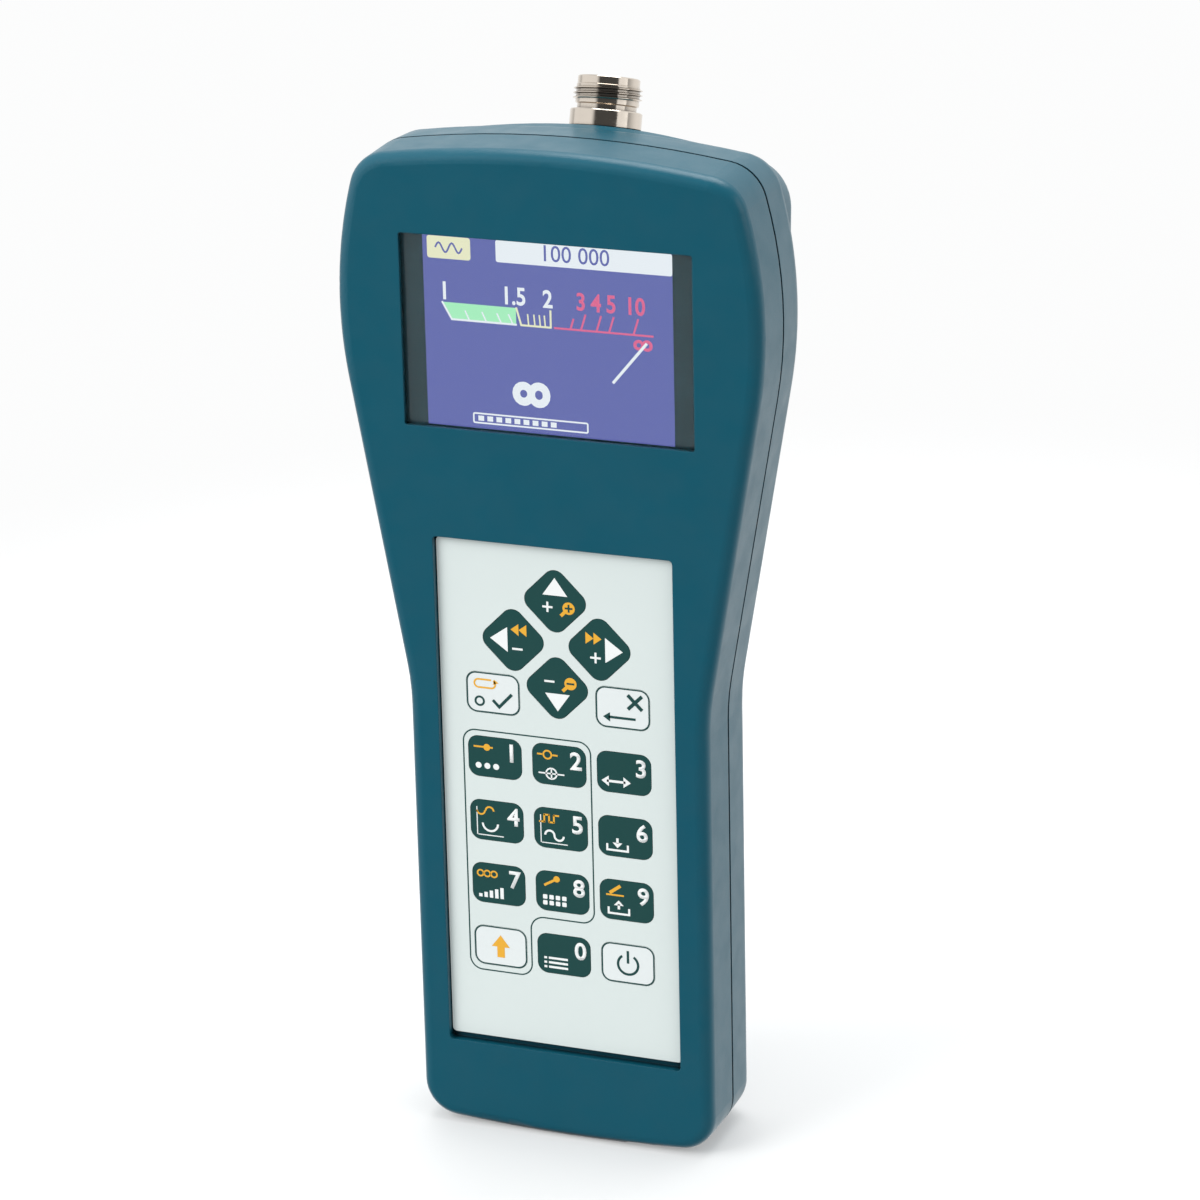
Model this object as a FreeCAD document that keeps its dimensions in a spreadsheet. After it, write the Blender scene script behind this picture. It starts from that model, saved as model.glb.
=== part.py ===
import FreeCAD, Part
import math
import os
import re
import Sketcher

# Hand-held antenna analyzer with a colour display, a membrane keypad and a coaxial socket.
# Millimetres. X is to the right, Y to the back and Z up the standing case. The two case halves
# meet in the plane Y = 0, and the case stands on the plane Z = 0.

V = FreeCAD.Vector

SIZES = {
    # Case outline, seen from the front
    "handle_half": 37.0,
    "base_radius": 390.0,
    "foot_half": 16.0,
    "base_corner": 9.0,
    "neck_radius": 60.0,
    "taper_angle": 9.8,
    "head_half": 51.2,
    "head_radius": 107.0,
    "head_level": 202.5,
    "crown_radius": 266.0,
    "crown_level": 241.1,
    "shoulder_radius": 10.0,
    # Front half
    "wall": 2.4,
    "face_depth": 14.14,
    "face_edge": 3.0,
    "face_draft": 0.3,
    "crown_drop": 0.1,
    # Rear half
    "seam_groove": 0.8,
    "groove_depth": 0.8,
    "back_depth": 15.0,
    "back_edge": 5.0,
    "back_draft": 0.25,
    "crown_fall": 0.6,
    "wedge_tilt": 18.0,
    "wedge_half": 42.6,
    "wedge_depth": 37.6,
    "wedge_lean": 2.6,
    "wedge_bend_level": 203.0,
    "wedge_foot_level": 172.0,
    "wedge_crown": 150.0,
    "wedge_corner": 11.0,
    "wedge_edge": 5.0,
    "wedge_inset": 1.0,
    "strap_radius": 1.5,
    "strap_depth": 1.6,
    "strap_y": 22.9,
    "strap_level": 219.5,
    # Coaxial socket, on an axis square to the sloping top
    "socket_y": 25.8,
    "socket_z": 236.8,
    "collar_radius": 8.3,
    "collar_length": 4.0,
    "relief_radius": 6.85,
    "relief_length": 1.4,
    "thread_radius": 7.94,
    "thread_root": 7.35,
    "thread_pitch": 1.058,
    "thread_turns": 4.0,
    "lip_radius": 7.15,
    "lip_length": 2.0,
    "mouth_radius": 5.2,
    "socket_bore": 4.2,
    "socket_floor": 2.0,
    "tail_radius": 6.0,
    "tail_length": 9.0,
    "insulator_radius": 3.5,
    "contact_radius": 1.5,
    "contact_bore": 0.85,
    "contact_reach": 8.0,
    "contact_tail": 3.0,
    "contact_bore_depth": 5.0,
    "contact_slot": 0.3,
    "contact_slot_depth": 4.0,
    "nut_flats": 16.0,
    "nut_thick": 3.0,
    "washer_radius": 8.8,
    "washer_thick": 0.6,
    "jumper_radius": 1.3,
    "jumper_bend": 4.5,
    "jumper_entry": 6.0,
    # Display
    "screen_level": 197.6,
    "screen_width": 70.0,
    "screen_height": 45.2,
    "screen_corner": 0.6,
    "screen_lip": 1.0,
    "window_border": 2.0,
    "window_thick": 1.0,
    "glass_width": 73.0,
    "glass_height": 48.6,
    "glass_thick": 1.5,
    "backlight_thick": 2.4,
    "frame_sheet": 0.5,
    "pad_border": 6.0,
    # Keypad
    "overlay_width": 58.0,
    "overlay_top_border": 4.23,
    "overlay_foot_border": 18.6,
    "overlay_corner": 1.0,
    "overlay_thick": 0.8,
    "overlay_recess": 1.64,
    "recess_side": 0.2,
    "recess_top": 0.5,
    "recess_foot": 1.5,
    "ledge_border": 2.7,
    "ledge_thick": 2.0,
    "key_pitch": 16.0,
    "key_row": 95.0,
    "arrow_gap": 29.74,
    "key_width": 13.2,
    "key_height": 10.0,
    "key_corner": 2.5,
    "arrow_side": 12.2,
    "arrow_corner": 2.8,
    "arrow_offset": 10.607,
    "key_gap": 0.12,
    "key_flange": 0.5,
    "key_flange_border": 0.5,
    "key_travel": 0.4,
    "key_room": 0.3,
    "plunger_radius": 2.0,
    "dome_radius": 3.4,
    "dome_height": 0.7,
    "contact_play": 0.05,
    # Boards
    "board_thick": 1.6,
    "keypad_board_border": 1.5,
    "keypad_board_corner": 1.0,
    "tongue_width": 30.0,
    "tongue_foot": 3.4,
    "main_board_gap": 1.6,
    "main_board_width": 83.0,
    "main_board_low": 163.0,
    "main_board_high": 222.0,
    "link_width": 40.0,
    "link_low": 139.0,
    "link_side": 3.0,
    "link_height": 4.0,
    "shield_width": 52.0,
    "shield_height": 36.0,
    "shield_depth": 9.0,
    "shield_sheet": 0.5,
    "chip_side": 8.0,
    "chip_thick": 1.4,
    "coil_height": 4.0,
    # Fasteners
    "screw_foot_x": 27.0,
    "screw_foot_level": 13.5,
    "screw_neck_x": 28.0,
    "screw_neck_level": 156.0,
    "screw_head_x": 30.0,
    "screw_head_level": 226.0,
    "post_side": 1.9,
    "post_low": 5.0,
    "post_high": 3.5,
    "boss_radius": 3.5,
    "insert_radius": 2.3,
    "insert_length": 5.0,
    "screw_radius": 1.5,
    "screw_head_radius": 2.8,
    "screw_head": 2.2,
    "screw_seat": 3.0,
    "screw_length": 8.0,
    "post_radius": 2.2,
    "small_screw_radius": 1.0,
    "small_head_radius": 1.9,
    "small_head": 1.2,
    "board_screw_length": 5.0,
    "door_screw_length": 4.2,
    "drive_length": 2.2,
    "drive_width": 0.6,
    "drive_depth": 1.0,
    "small_drive_depth": 0.6,
    "fit": 0.05,
    # Cells, tray and door
    "cell_radius": 7.25,
    "cell_length": 50.0,
    "cell_nub": 1.0,
    "cell_nub_radius": 2.75,
    "cell_gap": 0.4,
    "tray_wall": 1.5,
    "tray_low": 17.4,
    "tray_front": 5.4,
    "contact_sheet": 0.5,
    "contact_side": 10.0,
    "door_width": 44.0,
    "door_low": 12.0,
    "door_top_border": 8.0,
    "door_frame": 2.0,
    "door_thick": 1.9,
    "door_gap": 0.2,
    "door_hole_half": 16.6,
    "door_ledge": 8.4,
    "grip_width": 22.0,
    "grip_height": 1.4,
    "grip_depth": 0.5,
    "grip_pitch": 3.0,
    "grip_low": 26.0,
    # Supply and data socket in the foot
    "usb_width": 7.7,
    "usb_height": 3.9,
    "usb_length": 9.2,
    "usb_sheet": 0.35,
    "usb_inset": 0.6,
    "tongue_side": 1.6,
    "tongue_thick": 1.0,
    "tongue_back": 1.5,
    "buzzer_radius": 6.0,
    "buzzer_height": 5.0,
    "buzzer_side": 8.0,
    "buzzer_level": 18.0,
    # Working lengths of joined and cut forms
    "overlap": 0.6,
    "reach": 80.0,
}

doc = FreeCAD.newDocument("AntennaAnalyzer")
sheet = doc.addObject("Spreadsheet::Sheet", "Sizes")
for row, (alias, amount) in enumerate(SIZES.items(), start=1):
    sheet.set("A%d" % row, alias)
    sheet.set("B%d" % row, str(amount))
    sheet.setAlias("B%d" % row, alias)
doc.recompute()


def size(alias):
    """The number that the sheet holds under an alias."""
    return float(sheet.get(alias))


def bind(item, prop, formula):
    """Bind a property to a formula in which every alias is read from the sheet."""
    words = r"[a-z][a-z_0-9]*"
    text = re.sub(words, lambda word: "Sizes." + word[0] if word[0] in SIZES else word[0], formula)
    item.setExpression(prop, text)


def place(item, x, y, z):
    """Bind the three coordinates of an item's place."""
    bind(item, "Placement.Base.x", x)
    bind(item, "Placement.Base.y", y)
    bind(item, "Placement.Base.z", z)
    return item


# Levels that several pieces share, as formulas over the sheet
FACE = "(-face_depth)"
INNER_FACE = "(wall - face_depth)"
WINDOW_FRONT = "(screen_lip - face_depth)"
GLASS_FRONT = "(screen_lip + window_thick + fit - face_depth)"
OVERLAY_FRONT = "(overlay_recess - face_depth)"
OVERLAY_BACK = "(overlay_recess + overlay_thick - face_depth)"
KEYPAD_BOARD = "(overlay_recess + overlay_thick + ledge_thick - face_depth)"
KEYPAD_BOARD_BACK = "(overlay_recess + overlay_thick + ledge_thick + board_thick - face_depth)"
FRAME_BACK = "(screen_lip + window_thick + fit + glass_thick + backlight_thick + frame_sheet - face_depth)"
MAIN_BOARD = FRAME_BACK[:-1] + " + main_board_gap)"
MAIN_BOARD_BACK = FRAME_BACK[:-1] + " + main_board_gap + board_thick)"
ARROW_LEVEL = "(key_row + arrow_gap)"
OVERLAY_TOP = "(key_row + arrow_gap + arrow_offset + arrow_side / sqrt(2) + overlay_top_border)"
OVERLAY_FOOT = "(key_row - 3 * key_pitch - key_height / 2 - overlay_foot_border)"
OVERLAY_HEIGHT = "(%s - %s)" % (OVERLAY_TOP, OVERLAY_FOOT)
OVERLAY_LEVEL = "((%s + %s) / 2)" % (OVERLAY_TOP, OVERLAY_FOOT)
RECESS_WIDTH = "(overlay_width + 2 * recess_side)"
RECESS_HEIGHT = "(%s + recess_top + recess_foot)" % OVERLAY_HEIGHT
RECESS_LEVEL = "(%s + (recess_top - recess_foot) / 2)" % OVERLAY_LEVEL
BOARD_HEIGHT = "(%s - 2 * keypad_board_border)" % OVERLAY_HEIGHT
LEDGE_REAR = "(back_depth - door_thick - fit)"
LEDGE_FRONT = "(back_depth - door_thick - fit - wall)"
TRAY_FLOOR = "(tray_wall - tray_front)"
CELL_PITCH = "(cell_length + cell_nub + fit)"
CELL_START = "(tray_low + tray_wall + contact_sheet + fit)"
CELL_END = "(%s + 2 * %s)" % (CELL_START, CELL_PITCH)
TRAY_HIGH = "(%s + contact_sheet + tray_wall)" % CELL_END
DOOR_HIGH = "(%s + door_top_border)" % TRAY_HIGH
DOOR_HEIGHT = "(%s - door_low)" % DOOR_HIGH
DOOR_SCREWS = ("(door_low + door_ledge / 2)", "(%s - door_ledge / 2)" % DOOR_HIGH)

ALONG_Y = FreeCAD.Rotation(V(1, 0, 0), -90)


def block(name, length, width, height, x, y, z):
    """A box from its lowest corner; a length of X is centred where x is the word centre."""
    item = doc.addObject("Part::Box", name)
    bind(item, "Length", length)
    bind(item, "Width", width)
    bind(item, "Height", height)
    place(item, "-(%s) / 2" % length if x == "centre" else x, y, z)
    return item


def rod(name, radius, length, x, y, z, turn=None):
    """A cylinder from the centre of its first end, along Z or along a turned axis."""
    item = doc.addObject("Part::Cylinder", name)
    item.Placement = FreeCAD.Placement(V(), turn or FreeCAD.Rotation())
    bind(item, "Radius", radius)
    bind(item, "Height", length)
    return place(item, x, y, z)


def cone(name, radius, top_radius, length, x, y, z, turn=None):
    """A cone from the centre of its first end."""
    item = doc.addObject("Part::Cone", name)
    item.Placement = FreeCAD.Placement(V(), turn or FreeCAD.Rotation())
    bind(item, "Radius1", radius)
    bind(item, "Radius2", top_radius)
    bind(item, "Height", length)
    return place(item, x, y, z)


def fuse(name, items):
    """Several forms joined into one; a single form stays as it is."""
    if len(items) == 1:
        return items[0]
    item = doc.addObject("Part::MultiFuse", name)
    item.Shapes = items
    return item


def cut(name, base, tools):
    """A form with others taken out of it."""
    item = doc.addObject("Part::Cut", name)
    item.Base = base
    item.Tool = fuse(name + "_tools", tools)
    return item


def solids(name, items):
    """Several separate solids that share one node."""
    item = doc.addObject("Part::Compound", name)
    item.Links = items
    return item


def plane(body, role):
    """One of a body's own base planes."""
    return next(f for f in body.Origin.OriginFeatures if f.Role == role)


def rounded_sketch(body, name, width, height, corner, level):
    """A rounded rectangle about the body's origin, in a plane square to Y at a level."""
    sketch = body.newObject("Sketcher::SketchObject", name)
    sketch.AttachmentSupport = [(plane(body, "XZ_Plane"), "")]
    sketch.MapMode = "FlatFace"
    bind(sketch, "AttachmentOffset.Base.z", "-(%s)" % level)
    w, h, r = number(width) / 2, number(height) / 2, number(corner)
    lines = (((r - w, h), (w - r, h)), ((w, h - r), (w, r - h)),
             ((w - r, -h), (r - w, -h)), ((-w, r - h), (-w, h - r)))
    for (x1, y1), (x2, y2) in lines:
        sketch.addGeometry(Part.LineSegment(V(x1, y1, 0), V(x2, y2, 0)), False)
    centres = ((w - r, h - r, 0), (w - r, r - h, 270), (r - w, r - h, 180), (r - w, h - r, 90))
    for x, y, start in centres:
        circle = Part.Circle(V(x, y, 0), V(0, 0, 1), r)
        sketch.addGeometry(Part.ArcOfCircle(circle, math.radians(start), math.radians(start + 90)), False)
    add = sketch.addConstraint
    for side in range(4):
        arc = 4 + side
        add(Sketcher.Constraint("Tangent", side, 2, arc, 2))
        add(Sketcher.Constraint("Tangent", arc, 1, (side + 1) % 4, 1))
    add(Sketcher.Constraint("Horizontal", 0))
    add(Sketcher.Constraint("Vertical", 1))
    add(Sketcher.Constraint("Equal", 4, 5))
    add(Sketcher.Constraint("Equal", 5, 6))
    add(Sketcher.Constraint("Symmetric", 4, 3, 6, 3, -1, 1))
    wide = add(Sketcher.Constraint("DistanceX", 3, 1, 1, 1, 2 * w))
    tall = add(Sketcher.Constraint("DistanceY", 2, 1, 0, 1, 2 * h))
    round_ = add(Sketcher.Constraint("Radius", 4, r))
    bind(sketch, "Constraints[%d]" % wide, width)
    bind(sketch, "Constraints[%d]" % tall, height)
    bind(sketch, "Constraints[%d]" % round_, corner)
    return sketch


def number(formula):
    """The value of a formula over the sheet."""
    names = {alias: size(alias) for alias in SIZES}
    total = FreeCAD.ActiveDocument.getObject("Sizes").evalExpression(
        re.sub(r"[a-z][a-z_0-9]*", lambda word: repr(names[word[0]]) if word[0] in names else word[0],
               formula))
    return float(getattr(total, "Value", total))


def layer(body, name, width, height, corner, level, thick):
    """A rounded plate in a body, from a level towards the back."""
    sketch = rounded_sketch(body, name + "_outline", width, height, corner, level)
    pad = body.newObject("PartDesign::Pad", name)
    pad.Profile = sketch
    pad.Reversed = True
    bind(pad, "Length", thick)
    sketch.Visibility = False
    return pad


def plate(name, width, height, corner, thick, x, y, z):
    """A rounded plate as a body of its own; x and z are its middle and y its front."""
    body = doc.addObject("PartDesign::Body", name)
    layer(body, name + "_pad", width, height, corner, "0", thick)
    return place(body, x, y, z)


def feature(name, shape):
    """A finished shape as an object of its own."""
    item = doc.addObject("Part::Feature", name)
    item.Shape = shape
    return item


def arc(centre, radius, start, end, y):
    """An arc in the plane at Y = y, with its angles in degrees from +X towards +Z."""
    def at(angle):
        turn = math.radians(angle)
        return V(centre[0] + radius * math.cos(turn), y, centre[1] + radius * math.sin(turn))
    return Part.Arc(at(start), at((start + end) / 2), at(end)).toShape()


def mirrored(edges):
    """The same edges on the other side of the middle plane."""
    return [edge.mirror(V(), V(1, 0, 0)) for edge in edges]


def foot_centre():
    """The height of the foot arc's centre, so that the flat of the foot lies at Z = 0."""
    sag = size("base_radius") - math.sqrt(size("base_radius") ** 2 - size("foot_half") ** 2)
    return size("base_radius") - sag


def case_wire(inset, y, drop=0.0):
    """The case outline at one depth, with its crown lowered by a drop."""
    half, corner = size("handle_half"), size("base_corner")
    base, base_z = size("base_radius"), foot_centre()
    corner_x = half - corner
    corner_z = base_z - math.sqrt((base - corner) ** 2 - corner_x ** 2)
    lean = math.degrees(math.atan2(corner_x, base_z - corner_z))
    edges = [
        arc((0, base_z), base - inset, -90, -90 + lean, y),
        arc((corner_x, corner_z), corner - inset, -90 + lean, 0, y),
    ]
    taper = size("taper_angle")
    lean = math.radians(taper)
    head, head_x, head_z = size("head_radius"), size("head_half") - size("head_radius"), size("head_level")
    tangent_x = head_x + head * math.cos(lean)
    tangent_z = head_z - head * math.sin(lean)
    neck = size("neck_radius")
    bend_z = tangent_z - (tangent_x - half) / math.tan(lean)
    neck_z = bend_z - neck * math.tan(lean / 2)
    neck_x = half + neck
    edges.append(Part.makeLine(V(half - inset, y, corner_z), V(half - inset, y, neck_z)))
    edges.append(arc((neck_x, neck_z), neck + inset, 180, 180 - taper, y))
    low = edges[-1].valueAt(edges[-1].LastParameter)
    high = V(head_x + (head - inset) * math.cos(lean), y, head_z - (head - inset) * math.sin(lean))
    edges.append(Part.makeLine(low, high))
    crown = size("crown_radius")
    crown_z = size("crown_level") - drop - crown
    shoulder = size("shoulder_radius")
    reach_a, reach_b, apart = head - shoulder, crown - shoulder, math.hypot(head_x, crown_z - head_z)
    along = (reach_a ** 2 - reach_b ** 2 + apart ** 2) / (2 * apart)
    across = math.sqrt(reach_a ** 2 - along ** 2)
    unit_x, unit_z = -head_x / apart, (crown_z - head_z) / apart
    middle_x = head_x + along * unit_x - across * unit_z
    middle_z = head_z + along * unit_z + across * unit_x
    side_angle = math.degrees(math.atan2(middle_z - head_z, middle_x - head_x))
    top_angle = math.degrees(math.atan2(middle_z - crown_z, middle_x))
    edges.append(arc((head_x, head_z), head - inset, -taper, side_angle, y))
    edges.append(arc((middle_x, middle_z), shoulder - inset, side_angle, top_angle, y))
    edges.append(arc((0, crown_z), crown - inset, top_angle, 90, y))
    return Part.Wire(Part.__sortEdges__(edges + mirrored(edges)))


def prism(wire, depth):
    """An outline drawn out towards the back."""
    return Part.Face(wire).extrude(V(0, depth, 0))


def round_edges(shape, radius, y, keep=lambda edge: True):
    """Round the edges that lie in the plane at Y = y."""
    def flat(edge):
        box = edge.BoundBox
        return abs(box.YMin - y) < 1e-4 and abs(box.YMax - y) < 1e-4
    return shape.makeFillet(radius, [e for e in shape.Edges if flat(e) and keep(e)])


def front_form():
    """The outside of the front half, drafted and rounded towards its face."""
    y = -size("face_depth")
    back = case_wire(0, 0)
    front = case_wire(size("face_draft"), y, size("crown_drop"))
    return round_edges(Part.makeLoft([back, front], True, True), size("face_edge"), y)


def front_hollow():
    """The room inside the front half."""
    inset = size("wall") + size("face_draft")
    depth = size("face_depth") - size("wall")
    return prism(case_wire(inset, 1, size("crown_drop")), -1 - depth)


def back_form(inset):
    """The rear half as deep as the grip, drafted and rounded towards its back."""
    depth = size("back_depth") - inset
    start = -inset if inset else size("seam_groove")
    near = case_wire(inset, start)
    far = case_wire(inset + size("back_draft"), depth, size("crown_fall"))
    return round_edges(Part.makeLoft([near, far], True, True), size("back_edge") - inset, depth)


def wedge_profile(inset):
    """The wedge seen from the side: its leaning back and the slope down to the grip."""
    depth = size("wedge_depth") - inset
    bend_y = depth - size("wedge_lean")
    grip_y = size("back_depth") - inset
    bend_z, foot_z = size("wedge_bend_level"), size("wedge_foot_level")
    fall = (bend_z - foot_z) / (bend_y - grip_y)
    top_z = size("crown_level") + size("wall")
    end_z = foot_z - fall * grip_y
    half = size("head_half")
    corners = [V(-half, 0, end_z), V(-half, bend_y, bend_z), V(-half, depth, top_z), V(-half, 0, top_z)]
    return Part.Face(Part.makePolygon(corners + corners[:1])).extrude(V(2 * half, 0, 0))


def wedge_form(inset):
    """The box behind the display, whose crowned top slopes down to the back."""
    half = size("wedge_half") - inset
    crown, corner = size("wedge_crown") - inset, size("wedge_corner") - inset
    centre_z = -inset - crown
    corner_x = half - corner
    corner_z = centre_z + math.sqrt((crown - corner) ** 2 - corner_x ** 2)
    angle = math.degrees(math.atan2(corner_z - centre_z, corner_x))
    far, low = size("wedge_depth"), -size("crown_level")
    side = [
        Part.makeLine(V(0, far, low), V(half, far, low)),
        Part.makeLine(V(half, far, low), V(half, far, corner_z)),
        arc((corner_x, corner_z), corner, 0, angle, far),
        arc((0, centre_z), crown, angle, 90, far),
    ]
    form = prism(Part.Wire(Part.__sortEdges__(side + mirrored(side))), -size("reach") - far)
    tilt = FreeCAD.Rotation(V(1, 0, 0), -size("wedge_tilt"))
    form.Placement = FreeCAD.Placement(V(0, size("socket_y"), size("socket_z")), tilt)
    start = -inset if inset else size("seam_groove")
    room = prism(case_wire(inset + size("wedge_inset"), start), size("reach"))
    form = form.common([room]).common([wedge_profile(inset)])
    back = next(face for face in form.Faces if leans_back(face))
    return form.makeFillet(size("wedge_edge") - inset, back.Edges)


def leans_back(face):
    """Whether a face is the wedge's leaning back."""
    if not isinstance(face.Surface, Part.Plane):
        return False
    low, high = face.BoundBox.YMin, face.BoundBox.YMax
    return low > size("back_depth") and high - low < size("wedge_edge") and face.BoundBox.ZLength > size("wall")


def rear_form(inset):
    """The outside of the rear half, or its room at an inset."""
    return back_form(inset).fuse([wedge_form(inset)]).removeSplitter()


def tilted(item, along="0"):
    """Set an item that was made along Z from the sloping top onto the socket's axis."""
    item.Placement = FreeCAD.Placement(V(), FreeCAD.Rotation(V(1, 0, 0), -size("wedge_tilt")))
    return place(item, "0", "socket_y + (%s) * sin(wedge_tilt)" % along,
                 "socket_z + (%s) * cos(wedge_tilt)" % along)


nodes = []


def node(label, item):
    """Name a finished sub-part and list it for export."""
    item.Label = label
    nodes.append(item)
    return item


CASE_SCREWS = (("screw_foot_x", "screw_foot_level"), ("screw_neck_x", "screw_neck_level"),
               ("screw_head_x", "screw_head_level"))
POSTS = (("main_board_width / 2 - post_side", "main_board_low + post_low"),
         ("main_board_width / 2 - post_side", "main_board_high - post_high"))


def both_sides(spots):
    """Each spot on the right and again on the left, with a word for its name."""
    for index, (x, z) in enumerate(spots):
        yield "right_%d" % index, x, z
        yield "left_%d" % index, "-(%s)" % x, z


def front_shell():
    """The front half: skin, bosses, board posts and the ledge behind the keypad recess."""
    form = feature("front_form", front_form())
    hollow = feature("front_hollow", front_hollow())
    skin = cut("front_skin", form, [hollow])
    inner = INNER_FACE + " - overlap"
    ledge = plate("keypad_ledge", RECESS_WIDTH + " + ledge_border", RECESS_HEIGHT + " + 2 * ledge_border",
                  "overlay_corner + ledge_border", KEYPAD_BOARD + " - " + inner, "0", inner, RECESS_LEVEL)
    added = [skin, ledge]
    holes = []
    for side, x, z in both_sides(CASE_SCREWS):
        added.append(rod("boss_" + side, "boss_radius", "face_depth - wall + overlap", x, inner, z, ALONG_Y))
        holes.append(rod("insert_hole_" + side, "insert_radius", "insert_length + fit + overlap", x,
                         "-insert_length - fit", z, ALONG_Y))
        holes.append(rod("screw_hole_" + side, "screw_radius + fit", "face_depth - wall", x,
                         INNER_FACE + " + overlap", z, ALONG_Y))
    for side, x, z in both_sides(POSTS):
        added.append(rod("post_" + side, "post_radius", MAIN_BOARD + " - " + inner, x, inner, z, ALONG_Y))
        holes.append(rod("post_hole_" + side, "small_screw_radius + fit", "face_depth", x,
                         INNER_FACE + " + overlap", z, ALONG_Y))
    before = FACE + " - overlap"
    holes.append(plate("keypad_recess", RECESS_WIDTH, RECESS_HEIGHT, "overlay_corner",
                       "overlay_recess + overlay_thick + overlap", "0", before, RECESS_LEVEL))
    holes.append(plate("keypad_opening", RECESS_WIDTH + " - 2 * ledge_border",
                       RECESS_HEIGHT + " - 2 * ledge_border", "overlay_corner", "face_depth", "0", before,
                       RECESS_LEVEL))
    holes.append(plate("screen_opening", "screen_width", "screen_height", "screen_corner", "face_depth", "0",
                       before, "screen_level"))
    holes.append(plate("window_pocket", "screen_width + 2 * window_border + 2 * fit",
                       "screen_height + 2 * window_border + 2 * fit", "screen_corner + window_border",
                       "wall", "0", WINDOW_FRONT, "screen_level"))
    holes.append(plate("glass_pocket", "glass_width + 2 * frame_sheet + 4 * fit",
                       "glass_height + 2 * frame_sheet + 4 * fit", "screen_corner", "wall", "0",
                       GLASS_FRONT + " - fit", "screen_level"))
    holes.append(block("usb_mouth", "usb_width + 4 * fit", "usb_height + 4 * fit", "2 * wall", "centre",
                       KEYPAD_BOARD_BACK + " - 2 * fit", "-wall / 2"))
    holes.append(under_foot("front"))
    return node("front_shell", cut("front_shell", fuse("front_body", added), holes))


def under_foot(name):
    """The space under the flat of the foot."""
    return block("under_" + name, "2 * reach", "2 * reach", "reach", "centre", "-reach", "-reach")


def rear_shell():
    """The rear half: skin, screw tubes, battery door frame and the seat of the socket."""
    outside = rear_form(0).fuse(prism(case_wire(size("groove_depth"), 0), 2 * size("seam_groove")))
    shell = outside.cut(rear_form(size("wall")))
    tubes = []
    for _, x, z in both_sides(CASE_SCREWS):
        axis = V(number(x), 0, number(z))
        tube = Part.makeCylinder(size("boss_radius") + size("wall") / 2, size("reach"), axis, V(0, 1, 0))
        tubes.append(tube.common(outside))
    skin = feature("rear_skin", shell.fuse(tubes))
    ledge = block("door_frame_plate", "door_width + 2 * door_frame", "wall",
                  DOOR_HEIGHT + " + 2 * door_frame", "centre", LEDGE_FRONT, "door_low - door_frame")
    wells = []
    for side, x, z in both_sides(CASE_SCREWS):
        wells.append(rod("rear_screw_hole_" + side, "screw_radius + 2 * fit", "reach", x, "-overlap", z,
                         ALONG_Y))
        wells.append(rod("rear_head_well_" + side, "screw_head_radius + 4 * fit", "reach", x, "screw_seat", z,
                         ALONG_Y))
    bored = cut("rear_bored", fuse("rear_body", [skin, ledge]), wells)
    holes = []
    holes.append(block("door_recess", "door_width + 2 * door_gap", "reach", DOOR_HEIGHT + " + 2 * door_gap",
                       "centre", LEDGE_REAR, "door_low - door_gap"))
    holes.append(block("door_hole", "2 * door_hole_half", "reach", DOOR_HEIGHT + " - 2 * door_ledge",
                       "centre", LEDGE_FRONT + " - overlap", "door_low + door_ledge"))
    for index, z in enumerate(DOOR_SCREWS):
        holes.append(rod("door_screw_hole_%d" % index, "small_screw_radius + fit", "reach", "0",
                         LEDGE_FRONT + " - overlap", z, ALONG_Y))
    framed = cut("rear_framed", bored, holes)
    holes = [tilted(rod("socket_hole", "tail_radius + 2 * fit", "reach", "0", "0", "0"), "-reach / 2")]
    holes.append(tilted(rod("washer_seat", "washer_radius + 2 * fit", "reach / 4", "0", "0", "0"),
                        "-wall - reach / 4"))
    for side, x in (("right", "wedge_half - strap_depth"), ("left", "-wedge_half - strap_depth")):
        holes.append(rod("strap_dimple_" + side, "strap_radius", "2 * strap_depth", x, "strap_y",
                         "strap_level", FreeCAD.Rotation(V(0, 1, 0), 90)))
    holes.append(under_foot("rear"))
    shell = cut("rear_shell", framed, holes)
    shell.Refine = False
    return node("rear_shell", shell)


def battery_door():
    """The door in the back of the grip, with finger grooves and two sunk screws."""
    body = block("door_plate", "door_width", "door_thick", DOOR_HEIGHT, "centre", LEDGE_REAR + " + fit",
                 "door_low")
    tools = []
    for index in range(5):
        z = "%s - grip_low + grip_pitch * %d" % (DOOR_HIGH, index)
        tools.append(block("grip_groove_%d" % index, "grip_width", "2 * grip_depth", "grip_height", "centre",
                           "back_depth - grip_depth", z))
    for index, z in enumerate(DOOR_SCREWS):
        tools.append(rod("door_hole_%d" % index, "small_screw_radius + 2 * fit", "reach", "0", "0", z,
                         ALONG_Y))
        tools.append(cone("door_sink_%d" % index, "small_screw_radius + fit", "small_head_radius + 3 * fit",
                          "small_head", "0", "back_depth - small_head", z, ALONG_Y))
    return node("battery_door", cut("battery_door", body, tools))


def screw(name, shank, length, head_radius, head, x, y, z, recess):
    """A screw that points to the front; y is the seat of its head."""
    shaft = rod(name + "_shank", shank, "%s + overlap" % length, x, "%s - (%s)" % (y, length), z, ALONG_Y)
    top = rod(name + "_head", head_radius, head, x, y, z, ALONG_Y)
    return cut(name, fuse(name + "_whole", [shaft, top]),
               drive(name, x, "%s + %s - %s" % (y, head, recess), z))


def drive(name, x, y, z):
    """A cross recess as two bars."""
    bars = []
    for suffix, length, height in (("a", "drive_length", "drive_width"),
                                   ("b", "drive_width", "drive_length")):
        bars.append(block("%s_bar_%s" % (name, suffix), length, "screw_head", height,
                          "%s - %s / 2" % (x, length), y, "%s - %s / 2" % (z, height)))
    return bars


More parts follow.
